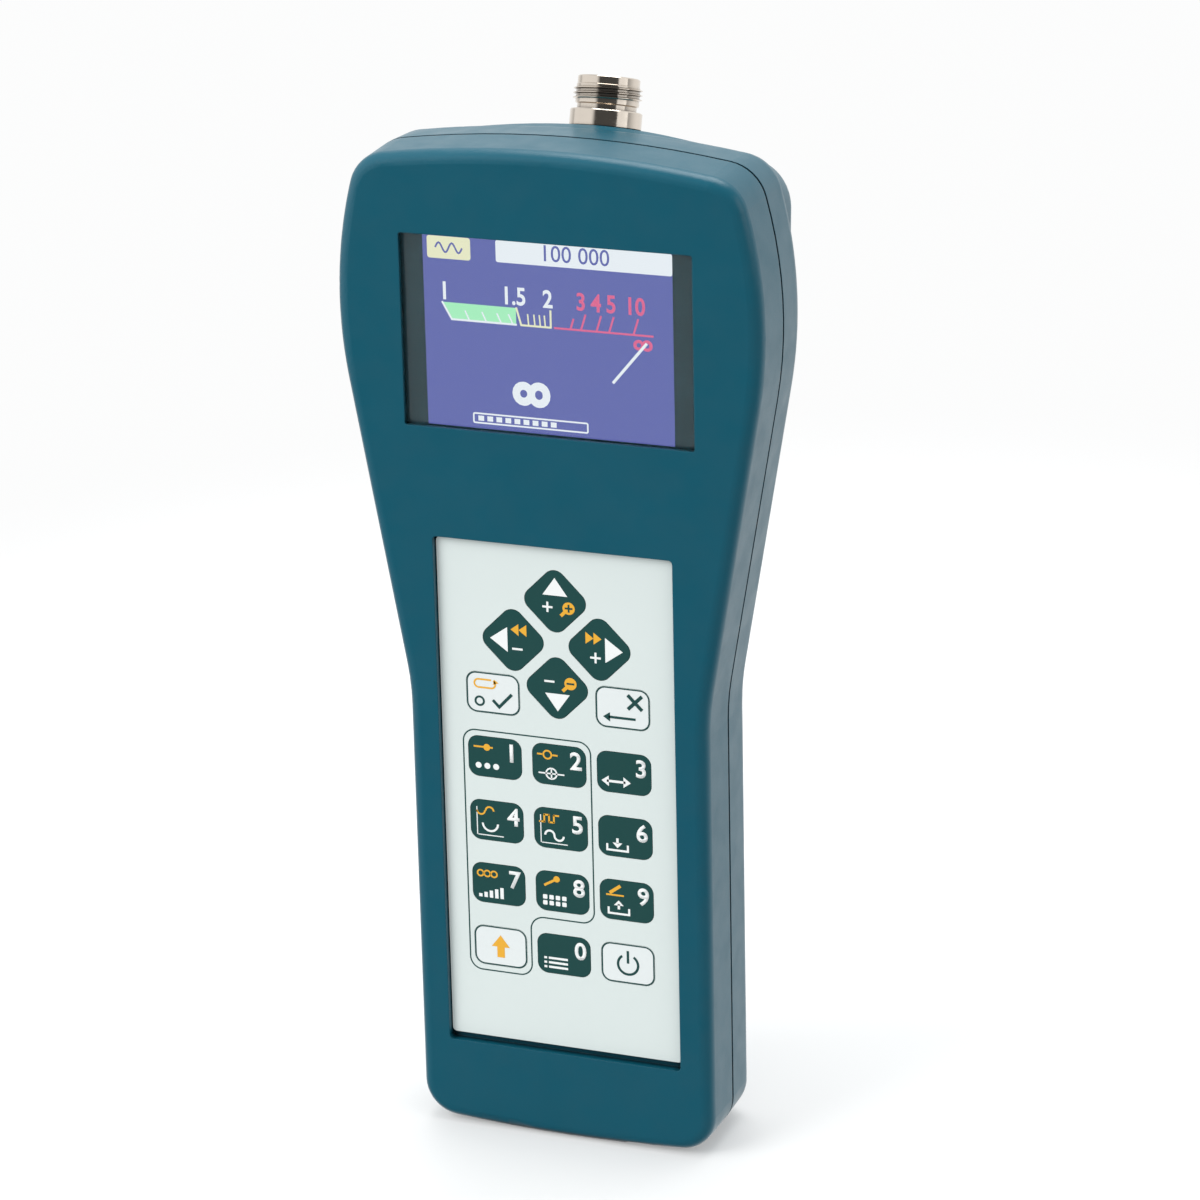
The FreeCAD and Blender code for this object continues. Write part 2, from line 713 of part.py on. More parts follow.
def fasteners():
    """The case screws with their threaded inserts, the board screws and the door screws."""
    screws = []
    inserts = []
    for side, x, z in both_sides(CASE_SCREWS):
        screws.append(screw("case_screw_" + side, "screw_radius", "screw_length", "screw_head_radius",
                            "screw_head", x, "screw_seat", z, "drive_depth"))
        ring = rod("insert_" + side, "insert_radius - fit / 2", "insert_length", x, "-insert_length", z,
                   ALONG_Y)
        bore = rod("insert_bore_" + side, "screw_radius + fit / 2", "insert_length + 2 * overlap", x,
                   "-insert_length - overlap", z, ALONG_Y)
        inserts.append(cut("insert_ring_" + side, ring, [bore]))
    node("case_screws", solids("case_screws", screws))
    node("threaded_inserts", solids("threaded_inserts", inserts))
    small = []
    for side, x, z in both_sides(POSTS):
        small.append(screw("board_screw_" + side, "small_screw_radius", "board_screw_length",
                           "small_head_radius", "small_head", x, MAIN_BOARD_BACK, z, "small_drive_depth"))
    node("board_screws", solids("board_screws", small))
    door = []
    for index, z in enumerate(DOOR_SCREWS):
        name = "door_screw_%d" % index
        shaft = rod(name + "_shank", "small_screw_radius", "door_screw_length", "0",
                    "back_depth - fit - door_screw_length", z, ALONG_Y)
        head = cone(name + "_head", "small_screw_radius", "small_head_radius", "small_head - fit", "0",
                    "back_depth - small_head", z, ALONG_Y)
        recess = drive(name, "0", "back_depth - fit - small_drive_depth", z)
        door.append(cut(name, fuse(name + "_whole", [shaft, head]), recess))
    node("door_screws", solids("door_screws", door))


def display():
    """The window, the display panel with its light and frame, and the pad behind it."""
    node("display_window", plate("display_window", "screen_width + 2 * window_border",
                                 "screen_height + 2 * window_border", "screen_corner + window_border - fit",
                                 "window_thick", "0", WINDOW_FRONT, "screen_level"))
    node("lcd_panel", plate("lcd_panel", "glass_width", "glass_height", "screen_corner", "glass_thick", "0",
                            GLASS_FRONT, "screen_level"))
    node("backlight",
         plate("backlight", "glass_width", "glass_height", "screen_corner", "backlight_thick", "0",
                            GLASS_FRONT + " + glass_thick", "screen_level"))
    outer = plate("lcd_frame_outer", "glass_width + 2 * frame_sheet + 2 * fit",
                  "glass_height + 2 * frame_sheet + 2 * fit", "screen_corner + frame_sheet",
                  "glass_thick + backlight_thick + frame_sheet - fit", "0", GLASS_FRONT + " + fit",
                  "screen_level")
    inner = plate("lcd_frame_inner", "glass_width + 2 * fit", "glass_height + 2 * fit", "screen_corner",
                  "glass_thick + backlight_thick", "0", GLASS_FRONT, "screen_level")
    node("lcd_frame", cut("lcd_frame", outer, [inner]))
    node("display_pad", plate("display_pad", "glass_width - 2 * pad_border", "glass_height - 2 * pad_border",
                              "screen_corner",
                              "main_board_gap", "0", FRAME_BACK, "screen_level"))


GRID_KEYS = (("key_ok", -1, -1), ("key_cancel", 1, -1), ("key_1", -1, 0), ("key_2", 0, 0), ("key_3", 1, 0),
             ("key_4", -1, 1), ("key_5", 0, 1), ("key_6", 1, 1), ("key_7", -1, 2), ("key_8", 0, 2),
             ("key_9", 1, 2), ("key_function", -1, 3), ("key_0", 0, 3), ("key_power", 1, 3))
ARROW_KEYS = (("key_up", 0, 1), ("key_down", 0, -1), ("key_left", -1, 0), ("key_right", 1, 0))


def key_places():
    """Each key's name, middle, sides, corner and turn, as formulas."""
    for name, column, line in GRID_KEYS:
        yield (name, "key_pitch * (%d)" % column, "key_row - key_pitch * (%d)" % line,
               "key_width", "key_height", "key_corner", 0)
    for name, across, up in ARROW_KEYS:
        yield (name, "arrow_offset * (%d)" % across, "%s + arrow_offset * (%d)" % (ARROW_LEVEL, up),
               "arrow_side", "arrow_side", "arrow_corner", 45)


def turned(item, turn, x, y, z):
    """Set an item's place after a turn about Y."""
    item.Placement = FreeCAD.Placement(V(), FreeCAD.Rotation(V(0, 1, 0), turn))
    return place(item, x, y, z)


def keypad():
    """The keys, the film round them, the spacer and the snap domes."""
    flange_front = "overlay_thick + contact_play"
    plunger_start = flange_front + " + key_flange"
    plunger = "ledge_thick - dome_height - key_travel - key_flange - 2 * contact_play"
    overlay_holes = []
    spacer_holes = []
    domes = []
    for name, x, z, width, height, corner, turn in key_places():
        body = doc.addObject("PartDesign::Body", name)
        layer(body, name + "_pad", width, height, corner, "0", flange_front)
        layer(body, name + "_flange", width + " + 2 * key_flange_border", height + " + 2 * key_flange_border",
              corner + " + key_flange_border", flange_front, "key_flange")
        round_layer(body, name + "_plunger", "plunger_radius", plunger_start, plunger)
        node(name, turned(body, turn, x, OVERLAY_FRONT, z))
        hole = plate(name + "_hole", width + " + 2 * key_gap", height + " + 2 * key_gap",
                     corner + " + key_gap", "overlay_thick + 2 * overlap", "0", "0", "0")
        overlay_holes.append(turned(hole, turn, x, OVERLAY_FRONT + " - overlap", z))
        border = " + 2 * (key_flange_border + key_room)"
        room = plate(name + "_room", width + border, height + border,
                     corner + " + key_flange_border + key_room", "ledge_thick + 2 * overlap", "0", "0", "0")
        spacer_holes.append(turned(room, turn, x, OVERLAY_BACK + " - overlap", z))
        domes.append(cone(name + "_dome", "dome_radius", "plunger_radius", "dome_height", x, KEYPAD_BOARD, z,
                          FreeCAD.Rotation(V(1, 0, 0), 90)))
    film = plate("overlay_sheet", "overlay_width", OVERLAY_HEIGHT, "overlay_corner", "overlay_thick", "0",
                 OVERLAY_FRONT, OVERLAY_LEVEL)
    node("keypad_overlay", cut("keypad_overlay", film, overlay_holes))
    carrier = plate("spacer_sheet", RECESS_WIDTH + " - 2 * ledge_border - 4 * fit",
                    RECESS_HEIGHT + " - 2 * ledge_border - 4 * fit", "overlay_corner", "ledge_thick", "0",
                    OVERLAY_BACK, RECESS_LEVEL)
    node("keypad_spacer", cut("keypad_spacer", carrier, spacer_holes))
    node("snap_domes", solids("snap_domes", domes))


def round_layer(body, name, radius, level, thick):
    """A round pad in a body, from a level towards the back."""
    sketch = body.newObject("Sketcher::SketchObject", name + "_outline")
    sketch.AttachmentSupport = [(plane(body, "XZ_Plane"), "")]
    sketch.MapMode = "FlatFace"
    bind(sketch, "AttachmentOffset.Base.z", "-(%s)" % level)
    sketch.addGeometry(Part.Circle(V(), V(0, 0, 1), number(radius)), False)
    sketch.addConstraint(Sketcher.Constraint("Coincident", 0, 3, -1, 1))
    index = sketch.addConstraint(Sketcher.Constraint("Radius", 0, number(radius)))
    bind(sketch, "Constraints[%d]" % index, radius)
    pad = body.newObject("PartDesign::Pad", name)
    pad.Profile = sketch
    pad.Reversed = True
    bind(pad, "Length", thick)
    return pad


def boards():
    """The two circuit boards, the link between them and what sits on the main board."""
    keypad_board = plate("keypad_board_main", "overlay_width - 2 * keypad_board_border", BOARD_HEIGHT,
                         "keypad_board_corner", "board_thick", "0", KEYPAD_BOARD, RECESS_LEVEL)
    tongue_height = "%s - %s / 2 - tongue_foot + overlap" % (RECESS_LEVEL, BOARD_HEIGHT)
    tongue = block("keypad_board_tongue", "tongue_width", "board_thick", tongue_height, "centre",
                   KEYPAD_BOARD, "tongue_foot")
    node("keypad_board", fuse("keypad_board", [keypad_board, tongue]))
    main = block("main_board_main", "main_board_width", "board_thick", "main_board_high - main_board_low",
                 "centre", MAIN_BOARD, "main_board_low")
    neck = block("main_board_neck", "link_width", "board_thick", "main_board_low - link_low + overlap",
                 "centre", MAIN_BOARD, "link_low")
    holes = []
    for side, x, z in both_sides(POSTS):
        holes.append(rod("board_hole_" + side, "small_screw_radius + fit", "board_thick + 2 * overlap", x,
                         MAIN_BOARD + " - overlap", z, ALONG_Y))
    node("main_board", cut("main_board", fuse("main_board_sheet", [main, neck]), holes))
    node("board_link",
         block("board_link", "link_width - 2 * link_side", MAIN_BOARD + " - " + KEYPAD_BOARD_BACK,
                             "link_height", "centre", KEYPAD_BOARD_BACK, "link_low + link_height / 4"))
    cover = block("shield_outer", "shield_width", "shield_depth", "shield_height", "centre", MAIN_BOARD_BACK,
                  "screen_level - shield_height / 2")
    room = block("shield_inner", "shield_width - 2 * shield_sheet", "shield_depth",
                 "shield_height - 2 * shield_sheet", "centre", MAIN_BOARD_BACK + " - shield_sheet",
                 "screen_level - shield_height / 2 + shield_sheet")
    node("shield_can", cut("shield_can", cover, [room]))
    node("buzzer", rod("buzzer", "buzzer_radius", "buzzer_height", "buzzer_side - main_board_width / 2",
                       MAIN_BOARD_BACK, "main_board_low + buzzer_level", ALONG_Y))
    parts = []
    chips = (("processor", "1.5 * chip_side", "chip_thick", "-0.75 * chip_side",
              "screen_level + chip_side / 4"),
             ("converter", "chip_side", "chip_thick", "1.5 * chip_side", "screen_level"),
             ("oscillator", "0.75 * chip_side", "chip_thick", "-2.5 * chip_side",
              "screen_level - chip_side / 2"),
             ("mixer", "0.75 * chip_side", "chip_thick", "0.5 * chip_side", "screen_level - 1.5 * chip_side"),
             ("regulator", "0.75 * chip_side", "coil_height / 2", "main_board_width / 2 - 1.4 * chip_side",
              "main_board_low + 1.3 * chip_side"),
             ("coil", "0.75 * chip_side", "coil_height", "main_board_width / 2 - 1.4 * chip_side",
              "main_board_low + 2.3 * chip_side"),
             ("memory", "chip_side", "chip_thick", "-1.75 * chip_side", "main_board_low - 2 * chip_side"),
             ("charger", "chip_side / 2", "chip_thick", "chip_side", "main_board_low - 2 * chip_side"))
    for name, side, thick, x, z in chips:
        parts.append(block(name, side, thick, side, x, MAIN_BOARD_BACK, z))
    node("board_components", solids("board_components", parts))


def coaxial_socket():
    """The threaded socket on the sloping top, with its insulator, contact, washer and nut."""
    thread_start = "collar_length + relief_length"
    thread_length = "thread_pitch * thread_turns"
    solid = [
        rod("socket_tail", "tail_radius", "tail_length + overlap", "0", "0", "-tail_length"),
        rod("socket_collar", "collar_radius", "collar_length", "0", "0", "0"),
        rod("socket_relief", "relief_radius", "relief_length + 2 * overlap", "0", "0",
            "collar_length - overlap"),
        rod("socket_root", "thread_root", thread_length, "0", "0", thread_start),
        rod("socket_lip", "lip_radius", "lip_length", "0", "0", thread_start + " + " + thread_length),
    ]
    for turn in range(int(size("thread_turns"))):
        base = "%s + thread_pitch * %d" % (thread_start, turn)
        solid.append(cone("ridge_low_%d" % turn, "thread_root", "thread_radius", "thread_pitch / 4", "0", "0",
                          base))
        solid.append(rod("ridge_land_%d" % turn, "thread_radius", "thread_pitch / 4", "0", "0",
                         base + " + thread_pitch / 4"))
        solid.append(cone("ridge_high_%d" % turn, "thread_radius", "thread_root", "thread_pitch / 4", "0",
                          "0", base + " + thread_pitch / 2"))
    nose = "(%s + %s + lip_length)" % (thread_start, thread_length)
    flare = "(mouth_radius - socket_bore)"
    core = "tail_length + 2 * socket_floor"
    core_start = "-tail_length - overlap"
    empty = [
        rod("socket_bore", "socket_bore", nose + " - socket_floor + overlap", "0", "0", "socket_floor"),
        cone("socket_mouth", "socket_bore", "mouth_radius", flare, "0", "0", nose + " - " + flare),
        rod("socket_core", "insulator_radius + fit", core, "0", "0", core_start),
    ]
    node("connector_body", tilted(cut("connector_body", fuse("socket_solid", solid), empty)))
    sleeve = rod("insulator_rod", "insulator_radius", "tail_length + socket_floor - 2 * fit", "0", "0",
                 "-tail_length + fit")
    hole = rod("insulator_hole", "contact_radius + fit / 2", core, "0", "0", core_start)
    node("connector_insulator", tilted(cut("connector_insulator", sleeve, [hole])))
    pin = rod("contact_rod", "contact_radius", "tail_length + contact_tail + contact_reach", "0", "0",
              "-tail_length - contact_tail")
    inside = [rod("contact_hole", "contact_bore", "contact_bore_depth + overlap", "0", "0",
                  "contact_reach - contact_bore_depth")]
    across = "3 * contact_radius"
    for suffix, length, width in (("a", across, "contact_slot"), ("b", "contact_slot", across)):
        inside.append(block("contact_slot_" + suffix, length, width, "contact_slot_depth + overlap", "centre",
                            "-(%s) / 2" % width, "contact_reach - contact_slot_depth"))
    node("connector_contact", tilted(cut("connector_contact", pin, inside)))
    ring = rod("washer_ring", "washer_radius", "washer_thick", "0", "0", "-wall - washer_thick")
    hole = rod("washer_hole", "tail_radius + fit", "tail_length", "0", "0", "-tail_length")
    node("connector_washer", tilted(cut("connector_washer", ring, [hole])))
    hexagon = doc.addObject("Part::Prism", "nut_hexagon")
    hexagon.Polygon = 6
    bind(hexagon, "Circumradius", "nut_flats / 2 / cos(30)")
    bind(hexagon, "Height", "nut_thick")
    place(hexagon, "0", "0", "-wall - washer_thick - nut_thick")
    hole = rod("nut_hole", "tail_radius + fit", "tail_length", "0", "0", "-tail_length")
    node("connector_nut", tilted(cut("connector_nut", hexagon, [hole])))


def signal_jumper():
    """The coaxial lead from the socket's contact to the screened circuit, in one bend."""
    tilt = math.radians(size("wedge_tilt"))
    reach = size("tail_length") + size("contact_tail")
    start = V(0, size("socket_y") - reach * math.sin(tilt), size("socket_z") - reach * math.cos(tilt))
    end_y = number(MAIN_BOARD_BACK) + size("shield_depth")
    corner_z = size("screen_level") + size("shield_height") / 2 - size("jumper_entry")
    corner = V(0, start.y - (start.z - corner_z) * math.tan(tilt), corner_z)
    end = V(0, end_y, corner_z)
    bend = size("jumper_bend")
    before = (start - corner).normalize()
    after = (end - corner).normalize()
    half_turn = before.getAngle(after) / 2
    run = bend / math.tan(half_turn)
    first, last = corner + before * run, corner + after * run
    middle = corner + (before + after).normalize() * (bend / math.sin(half_turn) - bend)
    path = Part.Wire([Part.LineSegment(start, first).toShape(), Part.Arc(first, middle, last).toShape(),
                      Part.LineSegment(last, end).toShape()])
    circle = Part.Wire(Part.Circle(start, before * -1, size("jumper_radius")).toShape())
    node("signal_jumper", feature("signal_jumper", path.makePipeShell([circle], True, False)))


def supply_socket():
    """The small supply and data socket in the foot, with its tongue."""
    outer = block("usb_shell", "usb_width", "usb_height", "usb_length", "centre", KEYPAD_BOARD_BACK,
                  "usb_inset")
    inner = block("usb_room", "usb_width - 2 * usb_sheet", "usb_height - 2 * usb_sheet",
                  "usb_length - usb_sheet",
                  "centre", KEYPAD_BOARD_BACK + " + usb_sheet", "usb_inset - usb_sheet")
    node("usb_socket", cut("usb_socket", outer, [inner]))
    node("usb_tongue", block("usb_tongue", "usb_width - 2 * tongue_side", "tongue_thick",
                             "usb_length - usb_sheet - tongue_back - fit", "centre",
                             KEYPAD_BOARD_BACK + " + (usb_height - tongue_thick) / 2",
                             "usb_inset + tongue_back - usb_sheet"))


def power():
    """The battery tray with four cells in two columns and the contacts at their ends."""
    tray_width = "2 * (door_hole_half + tray_wall)"
    tray_height = "(%s - tray_low)" % TRAY_HIGH
    outer = block("tray_outer", tray_width, LEDGE_FRONT + " + tray_front", tray_height, "centre",
                  "-tray_front", "tray_low")
    inner = block("tray_inner", tray_width + " - 2 * tray_wall", "reach", tray_height + " - 2 * tray_wall",
                  "centre", TRAY_FLOOR, "tray_low + tray_wall")
    node("battery_tray", cut("battery_tray", outer, [inner]))
    axis_y = "(%s + fit + cell_radius)" % TRAY_FLOOR
    for index, (column, line) in enumerate(((-1, 0), (1, 0), (-1, 1), (1, 1)), start=1):
        x = "(%d) * (cell_radius + cell_gap / 2)" % column
        low = "%s + %d * %s" % (CELL_START, line, CELL_PITCH)
        name = "battery_cell_%d" % index
        can = rod(name + "_can", "cell_radius", "cell_length", x, axis_y, low)
        nub = rod(name + "_nub", "cell_nub_radius", "cell_nub + overlap", x, axis_y,
                  low + " + cell_length - overlap")
        node(name, fuse(name, [can, nub]))
    plates = []
    for side, column in (("left", -1), ("right", 1)):
        x = "(%d) * (cell_radius + cell_gap / 2) - contact_side / 2" % column
        y = axis_y + " - contact_side / 2"
        for end, z in (("low", "tray_low + tray_wall"), ("high", CELL_END)):
            plates.append(block("%s_contact_%s" % (end, side), "contact_side", "contact_side",
                                "contact_sheet", x, y, z))
    node("battery_contacts", solids("battery_contacts", plates))


def build():
    """Make every sub-part."""
    front_shell()
    rear_shell()
    battery_door()
    fasteners()
    display()
    keypad()
    boards()
    coaxial_socket()
    signal_jumper()
    supply_socket()
    power()
    doc.recompute()


def check():
    """Every object is free of errors and every sub-part is a valid solid."""
    for item in doc.Objects:
        if "Invalid" in item.State or "Error" in item.State:
            raise RuntimeError("%s failed: %s" % (item.Name, item.State))
    for item in nodes:
        shape = item.Shape
        if shape.isNull() or not shape.isValid() or not shape.Solids or shape.Volume <= 0:
            raise RuntimeError("%s is not a valid solid" % item.Label)


def export():
    """Write each sub-part to its own file and print its extents."""
    os.makedirs("parts", exist_ok=True)
    for item in nodes:
        item.Shape.exportStep("parts/%s.step" % item.Label)
        box = item.Shape.BoundBox
        print("%-22s %2d solids %9.1f mm3  X %6.1f %6.1f  Y %6.1f %6.1f  Z %6.1f %6.1f" % (
            item.Label, len(item.Shape.Solids), item.Shape.Volume, box.XMin, box.XMax, box.YMin, box.YMax,
            box.ZMin, box.ZMax))


build()
check()
export()
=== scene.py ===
import math

import bmesh
import bpy
from mathutils import Matrix, Vector


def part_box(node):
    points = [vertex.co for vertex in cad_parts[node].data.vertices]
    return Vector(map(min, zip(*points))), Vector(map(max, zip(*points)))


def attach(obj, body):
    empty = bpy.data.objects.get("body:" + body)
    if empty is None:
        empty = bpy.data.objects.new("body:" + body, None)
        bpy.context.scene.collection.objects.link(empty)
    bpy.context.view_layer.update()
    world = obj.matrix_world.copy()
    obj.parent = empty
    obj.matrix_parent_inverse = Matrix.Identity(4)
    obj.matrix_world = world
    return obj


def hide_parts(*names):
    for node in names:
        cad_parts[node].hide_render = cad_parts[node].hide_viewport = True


bl_info = {
    "name": "Antenna Analyzer Dressing",
    "version": (1, 0, 0),
    "blender": (4, 5, 0),
    "location": "3D View > Sidebar > Analyzer",
    "description": "Dresses a hand-held antenna analyzer: case, keypad print, lit display, socket and studio",
    "category": "Object",
}

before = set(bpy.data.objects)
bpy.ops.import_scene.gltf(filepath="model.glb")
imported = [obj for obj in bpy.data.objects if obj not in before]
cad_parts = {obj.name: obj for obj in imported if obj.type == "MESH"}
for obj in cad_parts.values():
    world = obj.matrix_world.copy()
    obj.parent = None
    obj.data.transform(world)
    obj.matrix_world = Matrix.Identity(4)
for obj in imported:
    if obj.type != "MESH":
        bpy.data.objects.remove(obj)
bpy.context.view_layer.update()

MM = 0.001

# Thickness of printed ink and film, and how far each sits in front of what carries it
INK = 0.02 * MM
INK_GAP = 0.004 * MM

# Height of a row of the display, and how far the painted shade in crevices reaches on the case
ROW_PITCH = 0.19 * MM
CREVICE_SHADE_REACH = 2.5 * MM

# Axes of the camera, as fitted to the keypad's grid, and where the lamps aim
CAMERA_RIGHT = Vector((0.9351, 0.3538, -0.0212))
CAMERA_UP = Vector((-0.1018, 0.3254, 0.9401))
LAMP_AIM = Vector((0, 0, 0.13))

# Name, place, side and power of each lamp, and whether reflections show it
LAMPS = (
    ("key_light", (-0.85, -0.95, 1.0), 0.9, 15.0, False),
    ("right_light", (1.15, -0.25, 0.6), 0.8, 2.0, True),
    ("top_light", (0.0, 0.25, 1.35), 0.9, 11.0, True),
)


def node_box(name):
    low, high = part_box(name)
    return Vector(low), Vector(high)


def middle(name):
    low, high = node_box(name)
    return (low + high) / 2


def length(name, description, millimetres):
    """A length property with its default in millimetres."""
    return bpy.props.FloatProperty(name=name, description=description, unit="LENGTH", precision=5,
                                   default=millimetres * MM)


def color_choice(name, description, default):
    """A color property."""
    return bpy.props.FloatVectorProperty(name=name, description=description, subtype="COLOR", size=3,
                                         min=0.0, max=1.0, default=default)


class AnalyzerCase(bpy.types.PropertyGroup):
    """Finish of the moulded case."""
    color: color_choice("Case color", "Base color of the moulded case", (0.0010, 0.0860, 0.1310))
    grain: length("Grain size", "Size of the fine moulded grain", 0.35)
    grain_depth: length("Grain depth", "Depth of the fine moulded grain", 0.012)
    edge: length("Edge radius", "Radius by which the shading softens edges", 0.35)
    roughness: bpy.props.FloatProperty(
        name="Roughness", description="Roughness of the moulded case", min=0.0, max=1.0, default=0.33)


class AnalyzerKeypad(bpy.types.PropertyGroup):
    """Print of the keypad."""
    film: color_choice("Film color", "Color of the keypad film", (0.690, 0.757, 0.738))
    key: color_choice("Key color", "Color of the dark keys", (0.0100, 0.0660, 0.0620))
    pale: color_choice("Pale color", "Color of the pale keys", (0.760, 0.805, 0.800))
    ochre: color_choice("Second print color", "Color of the second function's print", (0.83, 0.42, 0.030))
    digit: length("Digit height", "Height of the key numbers", 4.5)
    group: length("Group room", "Room from a key's middle to the group's line", 6.64)
    line: length("Line width", "Width of the lines round the pale keys and the group", 0.34)


class AnalyzerDisplay(bpy.types.PropertyGroup):
    """Picture on the display."""
    width: length("Picture width", "Lit width of the display", 59.6)
    height: length("Picture height", "Lit height of the display", 44.7)
    field: color_choice("Field color", "Color of the lit field", (0.126, 0.146, 0.440))
    glow: bpy.props.FloatProperty(
        name="Glow", description="Strength of the lit picture", min=0.0, default=1.0)


class AnalyzerSocket(bpy.types.PropertyGroup):
    """Turned coaxial socket; heights are measured along its axis from the case."""
    color: color_choice("Plating color", "Color of the plating", (0.70, 0.63, 0.55))
    roughness: bpy.props.FloatProperty(
        name="Roughness", description="Roughness of the plating", min=0.0, max=1.0, default=0.12)
    seat: bpy.props.FloatVectorProperty(
        name="Seat", description="Where the axis meets the case", subtype="TRANSLATION", size=3,
        default=(0.0, 0.0258, 0.2368))
    tilt: bpy.props.FloatProperty(
        name="Tilt", description="Lean of the axis to the back", subtype="ANGLE", default=math.radians(18))
    collar: length("Collar radius", "Radius of the collar", 8.29)
    collar_height: length("Collar height", "Height of the collar", 4.0)
    relief: length("Relief radius", "Radius above the collar", 6.85)
    thread_start: length("Thread start", "Where the thread begins", 5.4)
    thread_end: length("Thread end", "Where the thread ends", 9.63)
    root: length("Root radius", "Radius between the ridges", 7.3)
    crest: length("Crest radius", "Radius over the ridges", 7.93)
    pitch: length("Pitch", "Distance between the ridges", 1.058)
    turns: bpy.props.FloatProperty(name="Turns", description="Turns of the thread", default=3.5)
    lip: length("Lip radius", "Radius of the plain end", 7.15)
    nose: length("Nose", "Height of the end", 11.63)
    mouth: length("Mouth radius", "Radius of the flared mouth", 5.2)
    bore: length("Bore radius", "Radius of the bore", 4.2)
    floor: length("Floor", "Height of the bore's floor", 2.0)
    throat: length("Throat radius", "Radius of the bore below its floor", 3.6)
    shank: length("Shank radius", "Radius of the part inside the case", 5.98)
    shank_length: length("Shank length", "Length of the part inside the case", 8.95)
    chamfer: length("Chamfer", "Width of the small chamfers", 0.25)


class AnalyzerStage(bpy.types.PropertyGroup):
    """Camera and light."""
    focal: bpy.props.FloatProperty(
        name="Focal length", description="Focal length of the camera in millimetres", default=138.02)
    eye: bpy.props.FloatVectorProperty(
        name="Eye", description="Where the camera stands", subtype="TRANSLATION", size=3,
        default=(0.3660, -0.9294, 0.4927))
    floor_radius: length("Floor radius", "Radius of the floor", 600)
    floor_back: length("Floor offset", "How far the floor's middle lies behind the part's", 160)
    fade_start: length("Fade start", "Where the floor starts to fade, from its middle", 180)
    fade_end: length("Fade end", "Where the floor has faded away, from its middle", 420)


def new_material(name):
    """A node material and its shader."""
    material = bpy.data.materials.new(name)
    material.use_nodes = True
    return material, material.node_tree, material.node_tree.nodes["Principled BSDF"]


def set_inputs(node, values):
    """Set a node's input values by their names."""
    for name, value in values.items():
        node.inputs[name].default_value = value


def new_node(tree, kind, values, **attributes):
    """Add a shader node with its attributes and input values."""
    node = tree.nodes.new("ShaderNode" + kind)
    for name, value in attributes.items():
        setattr(node, name, value)
    set_inputs(node, values)
    return node


def mix_colors(tree, first, second):
    """A mix of two colors, each a constant or the socket that it comes from."""
    mix = new_node(tree, "Mix", {}, data_type="RGBA")
    for name, color in (("A", first), ("B", second)):
        if isinstance(color, bpy.types.NodeSocket):
            tree.links.new(color, mix.inputs[name])
        else:
            mix.inputs[name].default_value = [*color, 1.0]
    return mix


def object_noise(tree, size, detail=3.0):
    """Noise on object coordinates whose features are about one size across."""
    place = new_node(tree, "TexCoord", {})
    noise = new_node(tree, "TexNoise", {"Scale": 1.0 / size, "Detail": detail})
    tree.links.new(place.outputs["Object"], noise.inputs["Vector"])
    return noise.outputs["Fac"]


def spread(tree, source, low, high):
    """Map noise about one half onto a range."""
    ramp = new_node(tree, "MapRange", {"From Min": 0.3, "From Max": 0.7, "To Min": low, "To Max": high})
    tree.links.new(source, ramp.inputs["Value"])
    return ramp.outputs["Result"]


def tint(tree, shader, color, amount, size):
    """Vary a base color a little in broad soft patches."""
    mix = mix_colors(tree, [c * (1 - amount) for c in color], [min(c * (1 + amount), 1.0) for c in color])
    tree.links.new(object_noise(tree, size, 2.0), mix.inputs["Factor"])
    tree.links.new(mix.outputs["Result"], shader.inputs["Base Color"])


def bump(tree, shader, height, depth, strength=1.0):
    """Roughen the surface by a height pattern that is one depth high."""
    node = new_node(tree, "Bump", {"Strength": strength, "Distance": depth})
    tree.links.new(height, node.inputs["Height"])
    tree.links.new(node.outputs["Normal"], shader.inputs["Normal"])


def moulded(name, color, roughness, grain, depth, amount=0.04, edge=0.0):
    """Moulded plastic: fine grain, uneven gloss and a slight drift of color."""
    material, tree, shader = new_material(name)
    tint(tree, shader, color, amount, 14 * MM)
    uneven = object_noise(tree, 6 * MM, 4.0)
    tree.links.new(spread(tree, uneven, roughness - 0.04, roughness + 0.05), shader.inputs["Roughness"])
    bump(tree, shader, object_noise(tree, grain), depth)
    # With an edge radius, shading softens the edges and painted shade darkens the crevices
    if edge:
        soft = new_node(tree, "Bevel", {"Radius": edge})
        tree.links.new(soft.outputs["Normal"], tree.nodes["Bump"].inputs["Normal"])
        paint_crevice_shade(tree, shader, color, CREVICE_SHADE_REACH)
    return material


def paint_crevice_shade(tree, shader, color, reach):
    """Paint shade into the color: darker in grooves and at the foot of recess walls, where little light
    reaches.
    """
    open_air = new_node(tree, "AmbientOcclusion", {"Distance": reach}, samples=6)
    fall = new_node(tree, "MapRange", {"From Min": 0.35, "From Max": 0.85})
    # The colour of the painted shade in the deepest crevices
    mix = mix_colors(tree, [c * 0.12 for c in color], shader.inputs["Base Color"].links[0].from_socket)
    tree.links.new(open_air.outputs["AO"], fall.inputs["Value"])
    tree.links.new(fall.outputs["Result"], mix.inputs["Factor"])
    tree.links.new(mix.outputs["Result"], shader.inputs["Base Color"])


def plated(name, color, roughness, scratch=0.06):
    """Plated or turned metal with fine scratches and a cloudy polish."""
    material, tree, shader = new_material(name)
    shader.inputs["Metallic"].default_value = 1.0
    tint(tree, shader, color, 0.05, 3 * MM)
    cloud = object_noise(tree, 1.2 * MM, 5.0)
    tree.links.new(spread(tree, cloud, roughness - 0.05, roughness + scratch), shader.inputs["Roughness"])
    bump(tree, shader, cloud, 0.004 * MM, 0.5)
    return material


